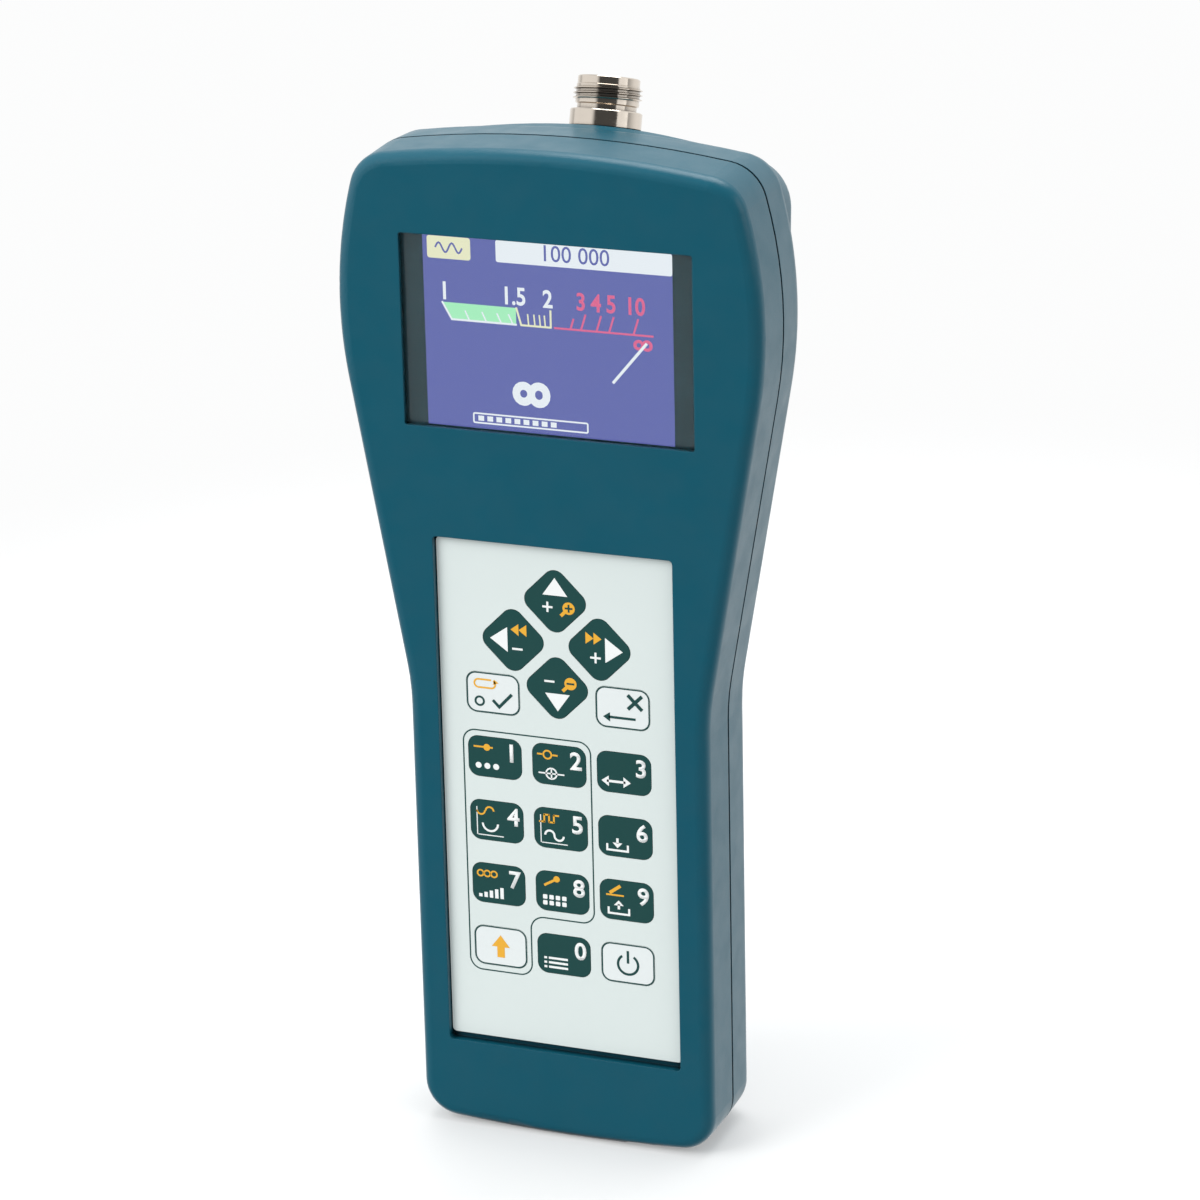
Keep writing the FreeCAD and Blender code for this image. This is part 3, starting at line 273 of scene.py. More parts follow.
def board_finish(name, color):
    """Circuit board: solder mask over a faint pattern of tracks."""
    material, tree, shader = new_material(name)
    place = new_node(tree, "TexCoord", {})
    turn = new_node(tree, "Mapping", {"Rotation": (math.radians(90), 0, 0)})
    bricks = new_node(tree, "TexBrick", {
        "Scale": 260.0, "Mortar Size": 0.03, "Color1": [*color, 1.0],
        "Color2": [c * 1.25 for c in color] + [1.0],
        "Mortar": [min(c * 2.2, 1.0) for c in color] + [1.0]})
    tree.links.new(place.outputs["Object"], turn.inputs["Vector"])
    tree.links.new(turn.outputs["Vector"], bricks.inputs["Vector"])
    tree.links.new(bricks.outputs["Color"], shader.inputs["Base Color"])
    tree.links.new(spread(tree, object_noise(tree, 2 * MM), 0.25, 0.4), shader.inputs["Roughness"])
    bump(tree, shader, bricks.outputs["Fac"], 0.02 * MM, 0.4)
    return material


def film(name, color, roughness=0.34):
    """Printed polyester film: satin, with a very fine tooth."""
    material, tree, shader = new_material(name)
    tint(tree, shader, color, 0.012, 22 * MM)
    uneven = object_noise(tree, 9 * MM)
    tree.links.new(spread(tree, uneven, roughness - 0.03, roughness + 0.04), shader.inputs["Roughness"])
    bump(tree, shader, object_noise(tree, 0.12 * MM, 2.0), 0.004 * MM, 0.6)
    return material


def lit(name, color, strength):
    """A lit part of the picture, with the faint row structure of the display."""
    material, tree, shader = new_material(name)
    set_inputs(shader, {"Base Color": (0.01, 0.01, 0.01, 1.0), "Specular IOR Level": 0.0,
                        "Emission Strength": strength})
    place = new_node(tree, "TexCoord", {})
    rows = new_node(tree, "TexWave", {"Scale": math.pi / (20 * ROW_PITCH)}, bands_direction="Z")
    tree.links.new(place.outputs["Object"], rows.inputs["Vector"])
    mix = mix_colors(tree, [c * 0.95 for c in color], color)
    tree.links.new(rows.outputs["Fac"], mix.inputs["Factor"])
    tree.links.new(mix.outputs["Result"], shader.inputs["Emission Color"])
    return material


def clear_glass():
    material, tree, shader = new_material("clear_window")
    set_inputs(shader, {"Base Color": (0.93, 0.97, 0.97, 1.0), "Transmission Weight": 1.0, "IOR": 1.46})
    tree.links.new(spread(tree, object_noise(tree, 8 * MM), 0.0, 0.03), shader.inputs["Roughness"])
    return material


def dark_glass():
    """The display's unlit border behind the window."""
    material, tree, shader = new_material("display_border")
    tint(tree, shader, (0.030, 0.068, 0.084), 0.1, 9 * MM)
    shader.inputs["Specular IOR Level"].default_value = 0.0
    tree.links.new(spread(tree, object_noise(tree, 3 * MM), 0.12, 0.22), shader.inputs["Roughness"])
    return material


def paint(names, material):
    """Give carried-over pieces a finish in place of the plain one."""
    for name in names:
        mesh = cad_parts[name].data
        mesh.materials.clear()
        mesh.materials.append(material)


def rounded(points, radius, steps):
    """The corner points of a polygon with each corner replaced by an arc."""
    result = []
    count = len(points)
    for index, point in enumerate(points):
        here = Vector(point)
        back = (Vector(points[index - 1]) - here).normalized()
        ahead = (Vector(points[(index + 1) % count]) - here).normalized()
        half = back.angle(ahead) / 2
        reach = radius / math.tan(half)
        centre = here + (back + ahead).normalized() * radius / math.sin(half)
        start, end = here + back * reach - centre, here + ahead * reach - centre
        sweep = start.angle_signed(end)
        for step in range(steps + 1):
            arm = start.copy()
            arm.rotate(Matrix.Rotation(-sweep * step / steps, 2))
            result.append(tuple(centre + arm))
    return result


def drawn_in(points, width):
    """The points of a smooth outline, each moved inwards by a width."""
    result = []
    for index, (x, z) in enumerate(points):
        ahead = Vector(points[(index + 1) % len(points)])
        along = (ahead - Vector(points[index - 1])).normalized()
        result.append((x - along.y * width, z + along.x * width))
    return result


class Print:
    """Flat marks in planes square to Y, gathered into one mesh with several inks."""

    def __init__(self, front, thick=INK):
        self.bm = bmesh.new()
        self.front = front
        self.thick = thick

    def lift(self, layers):
        """Move what is printed next in front of what is there, or back again."""
        self.front -= layers * self.thick

    def _raise(self, faces, ink):
        """Turn flat faces in the plane Z = 0 into a slab in front of the carrier."""
        made = bmesh.ops.extrude_face_region(self.bm, geom=faces)
        verts = [g for g in made["geom"] if isinstance(g, bmesh.types.BMVert)]
        bmesh.ops.translate(self.bm, verts=verts, vec=(0, 0, self.thick))
        known = set(faces) | {g for g in made["geom"] if isinstance(g, bmesh.types.BMFace)}
        every = known | {f for face in known for edge in face.edges for f in edge.link_faces}
        bmesh.ops.recalc_face_normals(self.bm, faces=list(every))
        for face in every:
            face.material_index = ink
        return list({v for face in every for v in face.verts})

    def _stand(self, verts, x, z, turn):
        place = Matrix.Translation((x, self.front, z)) @ Matrix.Rotation(math.radians(90), 4, "X")
        bmesh.ops.transform(self.bm, matrix=place @ Matrix.Rotation(turn, 4, "Z"), verts=verts)

    def outline(self, points, x, z, corner=0.0, ink=0, turn=0.0, steps=8, ring=0.0):
        """A polygon from its corner points, with rounded corners, filled or as a ring."""
        if corner:
            points = rounded(points, corner, steps)
        outer = [self.bm.verts.new((px, pz, 0)) for px, pz in points]
        if ring:
            inner = [self.bm.verts.new((px, pz, 0)) for px, pz in drawn_in(points, ring)]
            sides = zip(outer, outer[1:] + outer[:1], inner[1:] + inner[:1], inner)
            faces = [self.bm.faces.new(side) for side in sides]
        else:
            faces = [self.bm.faces.new(outer)]
        self._stand(self._raise(faces, ink), x, z, turn)

    def bar(self, x, z, width, height, corner=0.0, ink=0, turn=0.0):
        w, h = width / 2, height / 2
        self.outline([(-w, -h), (w, -h), (w, h), (-w, h)], x, z, corner, ink, turn, 4)

    def disc(self, x, z, radius, ink=0, sides=32, ring=0.0, turn=0.0):
        points = [(radius * math.cos(2 * math.pi * i / sides), radius * math.sin(2 * math.pi * i / sides))
                  for i in range(sides)]
        self.outline(points, x, z, 0.0, ink, turn, 1, ring)

    def arc(self, x, z, radius, width, start, end, ink=0, steps=24):
        """A curved stroke about a centre, between two angles in degrees."""
        outer, inner = radius + width / 2, radius - width / 2
        angles = [math.radians(start + (end - start) * i / steps) for i in range(steps + 1)]
        points = [(outer * math.cos(a), outer * math.sin(a)) for a in angles]
        points += [(inner * math.cos(a), inner * math.sin(a)) for a in reversed(angles)]
        self.outline(points, x, z, 0.0, ink)

    def stroke(self, points, width, ink=0, x=0.0, z=0.0):
        """Straight strokes from point to point."""
        for (x1, z1), (x2, z2) in zip(points, points[1:]):
            long = math.hypot(x2 - x1, z2 - z1)
            self.bar(x + (x1 + x2) / 2, z + (z1 + z2) / 2, long + width * 0.6, width, 0.0, ink,
                     math.atan2(z2 - z1, x2 - x1))

    def triangle(self, x, z, width, height, turn=0.0, ink=0):
        w, h = width / 2, height / 2
        self.outline([(-w, -h), (w, -h), (0, h)], x, z, 0.0, ink, turn)

    def text(self, words, x, z, height, ink=0, turn=0.0, bold=0.0, narrow=1.0):
        """Plain numbers, centred on a place; height is that of a numeral."""
        curve = bpy.data.curves.new("numerals", "FONT")
        curve.body = words
        curve.align_x = "CENTER"
        curve.align_y = "CENTER"
        curve.size = 1.0
        curve.offset = bold
        curve.resolution_u = 4
        curve.fill_mode = "FRONT"
        item = bpy.data.objects.new("numerals", curve)
        mesh = bpy.data.meshes.new_from_object(item)
        bpy.data.objects.remove(item)
        bpy.data.curves.remove(curve)
        before = set(self.bm.verts)
        self.bm.from_mesh(mesh)
        bpy.data.meshes.remove(mesh)
        verts = [v for v in self.bm.verts if v not in before]
        bmesh.ops.remove_doubles(self.bm, verts=verts, dist=1e-5)
        verts = [v for v in self.bm.verts if v not in before]
        low = Vector((min(v.co.x for v in verts), min(v.co.y for v in verts), 0))
        high = Vector((max(v.co.x for v in verts), max(v.co.y for v in verts), 0))
        scale = height / (high.y - low.y)
        bmesh.ops.translate(self.bm, verts=verts, vec=-(low + high) / 2)
        bmesh.ops.scale(self.bm, verts=verts, vec=(scale * narrow, scale, 1))
        faces = list({f for v in verts for f in v.link_faces})
        self._stand(self._raise(faces, ink), x, z, turn)

    def finish(self, name, body, inks):
        return finish_piece(self.bm, name, body, inks)


def smooth_rounds(piece, degrees):
    """Shade a piece smooth, apart from its edges sharper than an angle."""
    mesh = piece.data
    mesh.shade_smooth()
    mesh.set_sharp_from_angle(angle=math.radians(degrees))


def finish_piece(bm, name, body, materials):
    """Make a mesh into a piece that rides on a body."""
    mesh = bpy.data.meshes.new(name)
    bm.to_mesh(mesh)
    bm.free()
    for material in materials:
        mesh.materials.append(material)
    piece = bpy.data.objects.new(name, mesh)
    bpy.context.scene.collection.objects.link(piece)
    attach(piece, body)
    return piece


KEY_NAMES = [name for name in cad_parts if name.startswith("key_")]
PALE_KEYS = ("key_ok", "key_cancel", "key_function", "key_power")
ARROW_TURNS = {"key_up": 0, "key_left": 90, "key_down": 180, "key_right": 270}


class ANALYZER_OT_case(bpy.types.Operator):
    """Give the case halves and the battery door their moulded finish"""
    bl_idname = "analyzer.case"
    bl_label = "Case finish"

    def execute(self, context):
        look = context.scene.analyzer_case
        for names, name, roughness in ((("front_shell", "rear_shell"), "case_plastic", look.roughness),
                                       (("battery_door",), "door_plastic", look.roughness + 0.03)):
            paint(names, moulded(name, look.color, roughness, look.grain, look.grain_depth, edge=look.edge))
        return {"FINISHED"}


class ANALYZER_OT_hardware(bpy.types.Operator):
    """Finish the screws, inserts, boards, cells and other inner pieces"""
    bl_idname = "analyzer.hardware"
    bl_label = "Hardware finish"

    def execute(self, context):
        steel = plated("zinc_steel", (0.56, 0.57, 0.58), 0.3)
        brass = plated("turned_brass", (0.72, 0.52, 0.22), 0.28)
        sheet = plated("tinned_sheet", (0.70, 0.70, 0.68), 0.34, 0.1)
        paint(("case_screws", "board_screws", "door_screws", "connector_washer", "snap_domes"), steel)
        paint(("threaded_inserts", "connector_contact", "battery_contacts"), brass)
        paint(("shield_can", "lcd_frame", "usb_socket"), sheet)
        paint(("signal_jumper",), plated("tinned_copper", (0.75, 0.50, 0.36), 0.36, 0.12))
        paint(("keypad_board", "main_board"), board_finish("solder_mask", (0.010, 0.085, 0.030)))
        black = moulded("black_moulding", (0.018, 0.018, 0.019), 0.42, 0.2 * MM, 0.01 * MM, 0.15)
        paint(("board_link", "buzzer", "board_components", "usb_tongue", "battery_tray"), black)
        pale = moulded("white_moulding", (0.78, 0.78, 0.75), 0.4, 0.3 * MM, 0.008 * MM)
        paint(("backlight", "connector_insulator"), pale)
        paint(("display_pad",), moulded("foam_pad", (0.03, 0.03, 0.03), 0.85, 0.5 * MM, 0.1 * MM, 0.2))
        cells = [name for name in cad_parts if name.startswith("battery_cell_")]
        paint(cells, moulded("cell_wrap", (0.10, 0.12, 0.14), 0.28, 1.5 * MM, 0.01 * MM, 0.1))
        return {"FINISHED"}


class ANALYZER_OT_socket(bpy.types.Operator):
    """Turn the threaded coaxial socket and finish its nut"""
    bl_idname = "analyzer.socket"
    bl_label = "Coaxial socket"

    def execute(self, context):
        look = context.scene.analyzer_socket
        nickel = plated("bright_nickel", look.color, look.roughness, 0.05)
        shader = nickel.node_tree.nodes["Principled BSDF"]
        # Painted shade darkens the thread's grooves and other crevices of the plating
        paint_crevice_shade(nickel.node_tree, shader, look.color, look.pitch)
        paint(("connector_body", "connector_nut"), nickel)
        bm = bmesh.new()
        self.barrel(bm, look)
        self.thread(bm, look)
        self.upright(bm, look)
        bmesh.ops.recalc_face_normals(bm, faces=bm.faces)
        piece = finish_piece(bm, "socket_barrel", "case", [nickel])
        smooth_rounds(piece, 30)
        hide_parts("connector_body")
        return {"FINISHED"}

    def barrel(self, bm, look):
        """The turned body: collar, relief, thread root, lip and bore, with small chamfers."""
        cut = look.chamfer
        lip_low, lip_high = look.thread_end, look.nose
        profile = [
            (look.shank, -look.shank_length), (look.shank, 0.0), (look.collar - cut, 0.0), (look.collar, cut),
            (look.collar, look.collar_height - cut), (look.collar - cut, look.collar_height),
            (look.relief, look.collar_height), (look.relief, look.thread_start - cut),
            (look.root, look.thread_start), (look.root, lip_low), (look.lip, lip_low + cut / 2),
            (look.lip, lip_high - cut), (look.lip - cut, lip_high), (look.mouth, lip_high),
            (look.bore, lip_high - look.mouth + look.bore), (look.bore, look.floor),
            (look.throat, look.floor), (look.throat, -look.shank_length),
        ]
        verts = [bm.verts.new((radius, 0, height)) for radius, height in profile]
        edges = [bm.edges.new((a, b)) for a, b in zip(verts, verts[1:] + verts[:1])]
        bmesh.ops.spin(bm, geom=verts + edges, axis=(0, 0, 1), cent=(0, 0, 0), angle=2 * math.pi, steps=96,
                       use_merge=True)

    def thread(self, bm, look):
        """A ridge wound round the root, fading in and out at its ends; its section is in pitches."""
        steps, fade_steps = 96, 20
        flank, flat = 0.34, 0.07
        total = int(look.turns * steps)
        buried = look.root - look.chamfer / 2
        shape = ((0, -flank), (1, -flat), (1, flat), (0, flank))
        rings = []
        for index in range(total + 1):
            angle = 2 * math.pi * index / steps
            fade = min(1.0, index / fade_steps, (total - index) / fade_steps)
            height = look.thread_start + look.pitch * (0.45 + index / steps)
            ring = []
            for out, along in shape:
                radius = buried + (look.crest - buried) * out * fade
                ring.append(bm.verts.new((radius * math.cos(angle), radius * math.sin(angle),
                                          height + along * look.pitch * max(fade, 0.05))))
            rings.append(ring)
        for one, two in zip(rings, rings[1:]):
            for side in range(4):
                after = (side + 1) % 4
                bm.faces.new((one[side], one[after], two[after], two[side]))
        bm.faces.new(rings[0])
        bm.faces.new(reversed(rings[-1]))

    def upright(self, bm, look):
        """Set the turned shape on the sloping top."""
        place = Matrix.Translation(look.seat) @ Matrix.Rotation(-look.tilt, 4, "X")
        bmesh.ops.transform(bm, matrix=place, verts=bm.verts)


class ANALYZER_OT_display(bpy.types.Operator):
    """Light the display with a scale, a needle and plain numbers"""
    bl_idname = "analyzer.display"
    bl_label = "Display picture"

    def execute(self, context):
        look = context.scene.analyzer_display
        paint(("display_window",), clear_glass())
        paint(("lcd_panel",), dark_glass())
        field = lit("lit_field", look.field, look.glow)
        white = lit("lit_white", (0.90, 0.93, 0.98), look.glow)
        cream = lit("lit_cream", (0.89, 0.87, 0.60), look.glow)
        green = lit("lit_green", (0.42, 0.92, 0.55), look.glow)
        pink = lit("lit_pink", (0.80, 0.14, 0.30), look.glow)
        low, high = node_box("lcd_panel")
        centre_x, centre_z = 0.0, (low.z + high.z) / 2
        back = Print(low.y - INK_GAP)
        back.bar(centre_x, centre_z, look.width, look.height)
        back.finish("display_field", "case", [field])
        picture = Print(low.y - INK_GAP - INK, INK / 2)
        left = centre_x - look.width / 2
        top = centre_z + look.height / 2
        self.header(picture, left, top, look)
        self.scale(picture, left, top)
        self.reading(picture, left, top)
        picture.finish("display_picture", "case", [white, cream, green, pink, field])
        return {"FINISHED"}

    def header(self, picture, left, top, look):
        """A cream tag and a white number field along the top edge."""
        tag_x, tag_z = left + 6.35 * MM, top - 2.9 * MM
        picture.bar(tag_x, tag_z, 10.5 * MM, 5.2 * MM, 0.6 * MM, 1)
        width = look.width - 17.7 * MM
        field_x = left + look.width - width / 2
        picture.bar(field_x, top - 2.75 * MM, width, 5.1 * MM, 0.5 * MM, 0)
        picture.lift(1)
        self.wave(picture, tag_x, tag_z)
        picture.text("100 000", field_x - 1.6 * MM, top - 2.35 * MM, 3.8 * MM, 4, 0.0, 0.004, 0.95)
        picture.lift(-1)

    def wave(self, picture, x, z):
        """A small sine wave."""
        steps = 24
        points = [((step / steps - 0.5) * 6.4 * MM, math.sin(step / steps * 4 * math.pi) * 1.1 * MM)
                  for step in range(steps + 1)]
        picture.stroke(points, 0.42 * MM, 4, x, z)

    def scale(self, picture, left, top):
        """The round-number scale: a green bar, a cream part and a pink part with ticks."""
        foot = top - 19.5 * MM
        head = foot + 3.9 * MM
        thin = 0.46 * MM
        for words, x, ink in (("1", 5.0, 0), ("1.5", 22.1, 0), ("2", 29.9, 0), ("3", 37.8, 3), ("4", 41.4, 3),
                              ("5", 45.0, 3), ("10", 51.1, 3)):
            picture.text(words, left + x * MM, foot + 6.6 * MM, 4.2 * MM, ink, 0.0, 0.022, 0.86)
        picture.outline([(4.4 * MM, head - foot), (6.5 * MM, 0), (22.2 * MM, 0), (22.2 * MM, head - foot)],
                        left, foot, 0.0, 2)
        picture.lift(1)
        picture.stroke([(left + 4.4 * MM, head), (left + 6.6 * MM, foot), (left + 22.2 * MM, foot)], thin)
        for x in (9.9, 14.0, 17.6, 20.4):
            picture.stroke([(left + x * MM, foot + 2.2 * MM), (left + (x + 1.0) * MM, foot)], thin * 0.75)
        picture.lift(-1)
        picture.stroke([(left + 22.3 * MM, head), (left + 23.4 * MM, foot), (left + 30.5 * MM, foot),
                        (left + 30.5 * MM, head)], thin, 1)
        for x in (25.0, 26.5, 27.8, 29.0):
            picture.stroke([(left + x * MM, foot + 2.6 * MM), (left + (x + 0.2) * MM, foot)], thin * 0.75, 1)
        picture.stroke([(left + 31.4 * MM, foot), (left + 54.8 * MM, foot)], thin, 3)
        for x, tall in ((35.2, 2.4), (37.7, 3.6), (41.4, 3.6), (44.4, 3.6), (50.2, 3.6)):
            lean = tall * 0.32
            picture.stroke([(left + x * MM, foot), (left + (x + lean) * MM, foot + tall * MM)], thin, 3)

    def reading(self, picture, left, top):
        """The needle, the endless sign twice and a level bar."""
        picture.text("8", left + 52.4 * MM, top - 21.8 * MM, 4.6 * MM, 3, math.radians(90), 0.014, 0.9)
        picture.text("8", left + 25.4 * MM, top - 35.6 * MM, 9.2 * MM, 0, math.radians(90), 0.03, 1.0)
        level, w, h = top - 42.3 * MM, 14 * MM, 1.3 * MM
        picture.outline([(-w, -h), (w, -h), (w, h), (-w, h)], left + 25.0 * MM, level, 0.5 * MM, 0, 0.0, 6,
                        0.38 * MM)
        for index in range(9):
            picture.bar(left + (13.0 + 2.2 * index) * MM, level, 1.4 * MM, 1.2 * MM, 0.0, 0)
        picture.lift(1)
        picture.stroke([(left + 45.2 * MM, top - 31.0 * MM), (left + 53.2 * MM, top - 21.4 * MM)], 0.66 * MM)
        picture.lift(-1)


class ANALYZER_OT_keypad(bpy.types.Operator):
    """Finish the keypad film, the keys and the line round the grouped keys"""
    bl_idname = "analyzer.keypad"
    bl_label = "Keypad film"

    def execute(self, context):
        look = context.scene.analyzer_keypad
        paint(("keypad_overlay",), film("keypad_film", look.film))
        paint(("keypad_spacer",), film("spacer_film", look.film, 0.5))
        dark = [name for name in KEY_NAMES if name not in PALE_KEYS]
        paint(dark, film("dark_key", look.key, 0.36))
        paint(PALE_KEYS, film("pale_key", look.pale, 0.34))
        self.group_line(look)
        return {"FINISHED"}

    def group_line(self, look):
        """A thin line that steps round the key of the lower row's middle."""
        front = node_box("keypad_overlay")[0].y
        one, two, last = middle("key_1"), middle("key_2"), middle("key_function")
        reach = (two.x - one.x) / 2
        left, right, inner = one.x - reach, two.x + reach, last.x + reach
        top, step, bottom = one.z + look.group, last.z + 1.1 * reach, last.z - look.group
        points = [(left, bottom), (inner, bottom), (inner, step), (right, step), (right, top), (left, top)]
        line = Print(front)
        line.outline(points, 0, 0, 3.2 * MM, 0, 0.0, 10, look.line)
        line.finish("group_line", "case", [film("line_ink", look.key, 0.4)])


class ANALYZER_OT_legends(bpy.types.Operator):
    """Print numbers, arrows and plain signs on the keys"""
    bl_idname = "analyzer.legends"
    bl_label = "Key legends"

    def execute(self, context):
        look = context.scene.analyzer_keypad
        inks = [film("white_ink", (0.86, 0.88, 0.87), 0.4), film("ochre_ink", look.ochre, 0.4),
                film("dark_ink", look.key, 0.4)]
        for name in KEY_NAMES:
            low, high = node_box(name)
            place = middle(name)
            mark = Print(low.y)
            sign = name.removeprefix("key_")
            if sign.isdigit():
                self.number_key(mark, sign, place, look)
            elif name in ARROW_TURNS:
                self.arrow_key(mark, name, place)
            else:
                self.pale_key(mark, sign, place, look, (low, high))
            mark.finish("legend_" + sign, name, inks)
        return {"FINISHED"}

    def number_key(self, mark, sign, place, look):
        mark.text(sign, place.x + 4.15 * MM, place.z + 1.5 * MM, look.digit, 0, 0.0, 0.024, 1.0)
        x, z = place.x - 2.0 * MM, place.z - 2.3 * MM
        if sign == "1":
            for step in (-1, 0, 1):
                mark.disc(x + step * 2.2 * MM, z, 0.75 * MM, 0, 20)
        elif sign == "2":
            mark.disc(x, z, 1.5 * MM, 0, 32, 0.38 * MM)
            mark.bar(x, z, 6.4 * MM, 0.36 * MM)
            mark.bar(x, z, 0.36 * MM, 2.4 * MM)
        elif sign == "3":
            mark.bar(x, z, 4.6 * MM, 0.6 * MM)
            for way in (-1, 1):
                mark.triangle(x + way * 2.7 * MM, z, 2.6 * MM, 1.8 * MM, math.radians(-90 * way))
        elif sign in "45":
            self.chart(mark, sign, place)
        elif sign == "6":
            self.tray(mark, x, z, -1)
        elif sign == "7":
            for step in range(5):
                tall = 0.8 + 0.5 * step
                mark.bar(x + (step - 2) * 1.35 * MM, z + (tall / 2 - 1.4) * MM, 0.85 * MM, tall * MM)
        elif sign == "8":
            for column in range(4):
                for row in (-1, 1):
                    mark.bar(x + (column - 1.5) * 1.6 * MM, z + row * 0.75 * MM, 1.1 * MM, 1.1 * MM, 0.2 * MM)
        elif sign == "9":
            self.tray(mark, x, z, 1)
        else:
            for step in (-1, 0, 1):
                mark.bar(x + 0.5 * MM, z + step * 1.15 * MM, 4.8 * MM, 0.55 * MM)
                mark.bar(x - 2.7 * MM, z + step * 1.15 * MM, 0.7 * MM, 0.55 * MM)
        self.second(mark, sign, place.x - 2.9 * MM, place.z + 2.35 * MM)

    def second(self, mark, sign, x, z):
        """The ochre sign of a key's second function."""
        thin = 0.42 * MM
        if sign == "1":
            mark.bar(x, z, 4.8 * MM, thin, 0.0, 1)
            mark.lift(1)
            mark.disc(x + 0.9 * MM, z, 0.85 * MM, 1, 24)
            mark.lift(-1)
        elif sign == "2":
            mark.disc(x, z, 1.2 * MM, 1, 28, 0.4 * MM)
            for way in (-1, 1):
                mark.bar(x + way * 1.9 * MM, z, 1.3 * MM, thin, 0.0, 1)
        elif sign == "4":
            for way in (-1, 1):
                mark.arc(x + way * 1.1 * MM, z, 1.0 * MM, thin, 90 - 90 * way, 270 - 90 * way, 1, 12)
        elif sign == "5":
            path = ((-2, -1), (-1, -1), (-1, 1), (0, 1), (0, -1), (1, -1), (1, 1), (2, 1))
            mark.stroke([(x + i * 1.2 * MM, z + j * 0.9 * MM) for i, j in path], thin, 1)
        elif sign == "7":
            for step in (-1, 0, 1):
                mark.disc(x + step * 1.7 * MM, z, 0.95 * MM, 1, 24, 0.38 * MM)
        elif sign == "8":
            mark.stroke([(x - 1.5 * MM, z - 0.9 * MM), (x + 1.2 * MM, z + 0.7 * MM)], 0.6 * MM, 1)
            mark.lift(1)
            mark.disc(x + 1.5 * MM, z + 0.85 * MM, 0.8 * MM, 1, 20)
            mark.lift(-1)
        elif sign == "9":
            mark.stroke([(x - 1.1 * MM, z - 0.6 * MM), (x + 1.2 * MM, z + 1.1 * MM)], 0.8 * MM, 1)
            mark.bar(x, z - 1.2 * MM, 4.4 * MM, thin, 0.0, 1)

    def chart(self, mark, sign, place):
        """Two axes with a curve above them."""
        x, z = place.x - 5.0 * MM, place.z - 3.8 * MM
        thin = 0.24 * MM
        mark.bar(x, z + 3.5 * MM, thin, 7.0 * MM)
        mark.bar(x + 3.4 * MM, z, 6.4 * MM, thin)
        if sign == "4":
            mark.arc(x + 3.3 * MM, z + 3.0 * MM, 1.9 * MM, 0.5 * MM, 180, 360)
        else:
            mark.arc(x + 2.2 * MM, z + 2.0 * MM, 1.15 * MM, 0.5 * MM, 0, 180)
            mark.arc(x + 4.5 * MM, z + 2.0 * MM, 1.15 * MM, 0.5 * MM, 180, 360)

    def tray(self, mark, x, z, way):
        """An arrow into or out of a tray."""
        mark.bar(x, z - 1.2 * MM, 5.6 * MM, 0.5 * MM)
        for side in (-1, 1):
            mark.bar(x + side * 2.55 * MM, z - 0.3 * MM, 0.5 * MM, 1.3 * MM)
        mark.bar(x, z + (0.9 - 0.3 * way) * MM, 0.6 * MM, 1.3 * MM)
        mark.triangle(x, z + (0.8 + 0.75 * way) * MM, 2.4 * MM, 1.3 * MM, 0 if way > 0 else math.pi)

    def arrow_key(self, mark, name, place):
        turn = math.radians(ARROW_TURNS[name])
        out = Vector((-math.sin(turn), math.cos(turn)))
        mark.triangle(place.x + out.x * 3.55 * MM, place.z + out.y * 3.55 * MM, 6.1 * MM, 4.3 * MM, turn)
        if name in ("key_up", "key_down"):
            way = 1 if name == "key_up" else -1
            self.sum_sign(mark, place.x - 1.9 * MM, place.z - 1.5 * way * MM, way > 0, 0, 2.5 * MM, 0.5 * MM)
            self.lens(mark, place.x + 3.3 * MM, place.z - 1.4 * way * MM, way > 0)
            return
        way = 1 if name == "key_right" else -1
        for step in (-1, 1):
            mark.triangle(place.x - 1.4 * way * MM + 0.98 * step * MM, place.z + 2.6 * MM, 2.9 * MM,
                          1.95 * MM,
                          math.radians(-90 * way), 1)
        self.sum_sign(mark, place.x - 1.0 * way * MM, place.z - 2.1 * MM, way > 0, 0, 2.6 * MM, 0.5 * MM)

    def sum_sign(self, mark, x, z, both, ink, long, wide):
        """A minus, or with both strokes a plus."""
        if both:
            w, h = wide / 2, long / 2
            mark.outline([(-h, -w), (-w, -w), (-w, -h), (w, -h), (w, -w), (h, -w),
                          (h, w), (w, w), (w, h), (-w, h), (-w, w), (-h, w)], x, z, 0.0, ink)
        else:
            mark.bar(x, z, long, wide, 0.0, ink)

    def lens(self, mark, x, z, both):
        """A magnifier with a plus or a minus in it."""
        mark.stroke([(x - 0.8 * MM, z - 0.8 * MM), (x - 1.8 * MM, z - 1.8 * MM)], 0.8 * MM, 1)
        mark.lift(1)
        mark.disc(x, z, 1.5 * MM, 1, 28)
        mark.lift(1)
        self.sum_sign(mark, x, z, both, 2, 1.9 * MM, 0.45 * MM)
        mark.lift(-2)

    def pale_key(self, mark, sign, place, look, box):
        low, high = box
        border = 0.52 * MM
        w, h = (high.x - low.x) / 2 - border, (high.z - low.z) / 2 - border
        mark.outline([(-w, -h), (w, -h), (w, h), (-w, h)], place.x, place.z, 2.45 * MM, 2, 0.0, 10, look.line)
        mark.lift(1)
        if sign == "ok":
            self.ok_sign(mark, place)
        elif sign == "cancel":
            self.cancel_sign(mark, place)
        elif sign == "function":
            points = [(-0.95, -2.8), (0.95, -2.8), (0.95, -0.1), (2.3, -0.1), (0, 2.9), (-2.3, -0.1),
                      (-0.95, -0.1)]
            mark.outline([(px * MM, pz * MM) for px, pz in points], place.x, place.z, 0.0, 1)
        else:
            mark.arc(place.x, place.z - 0.2 * MM, 2.5 * MM, 0.6 * MM, 125, 415, 2, 40)
            mark.bar(place.x, place.z + 1.7 * MM, 0.6 * MM, 3.2 * MM, 0.0, 2)

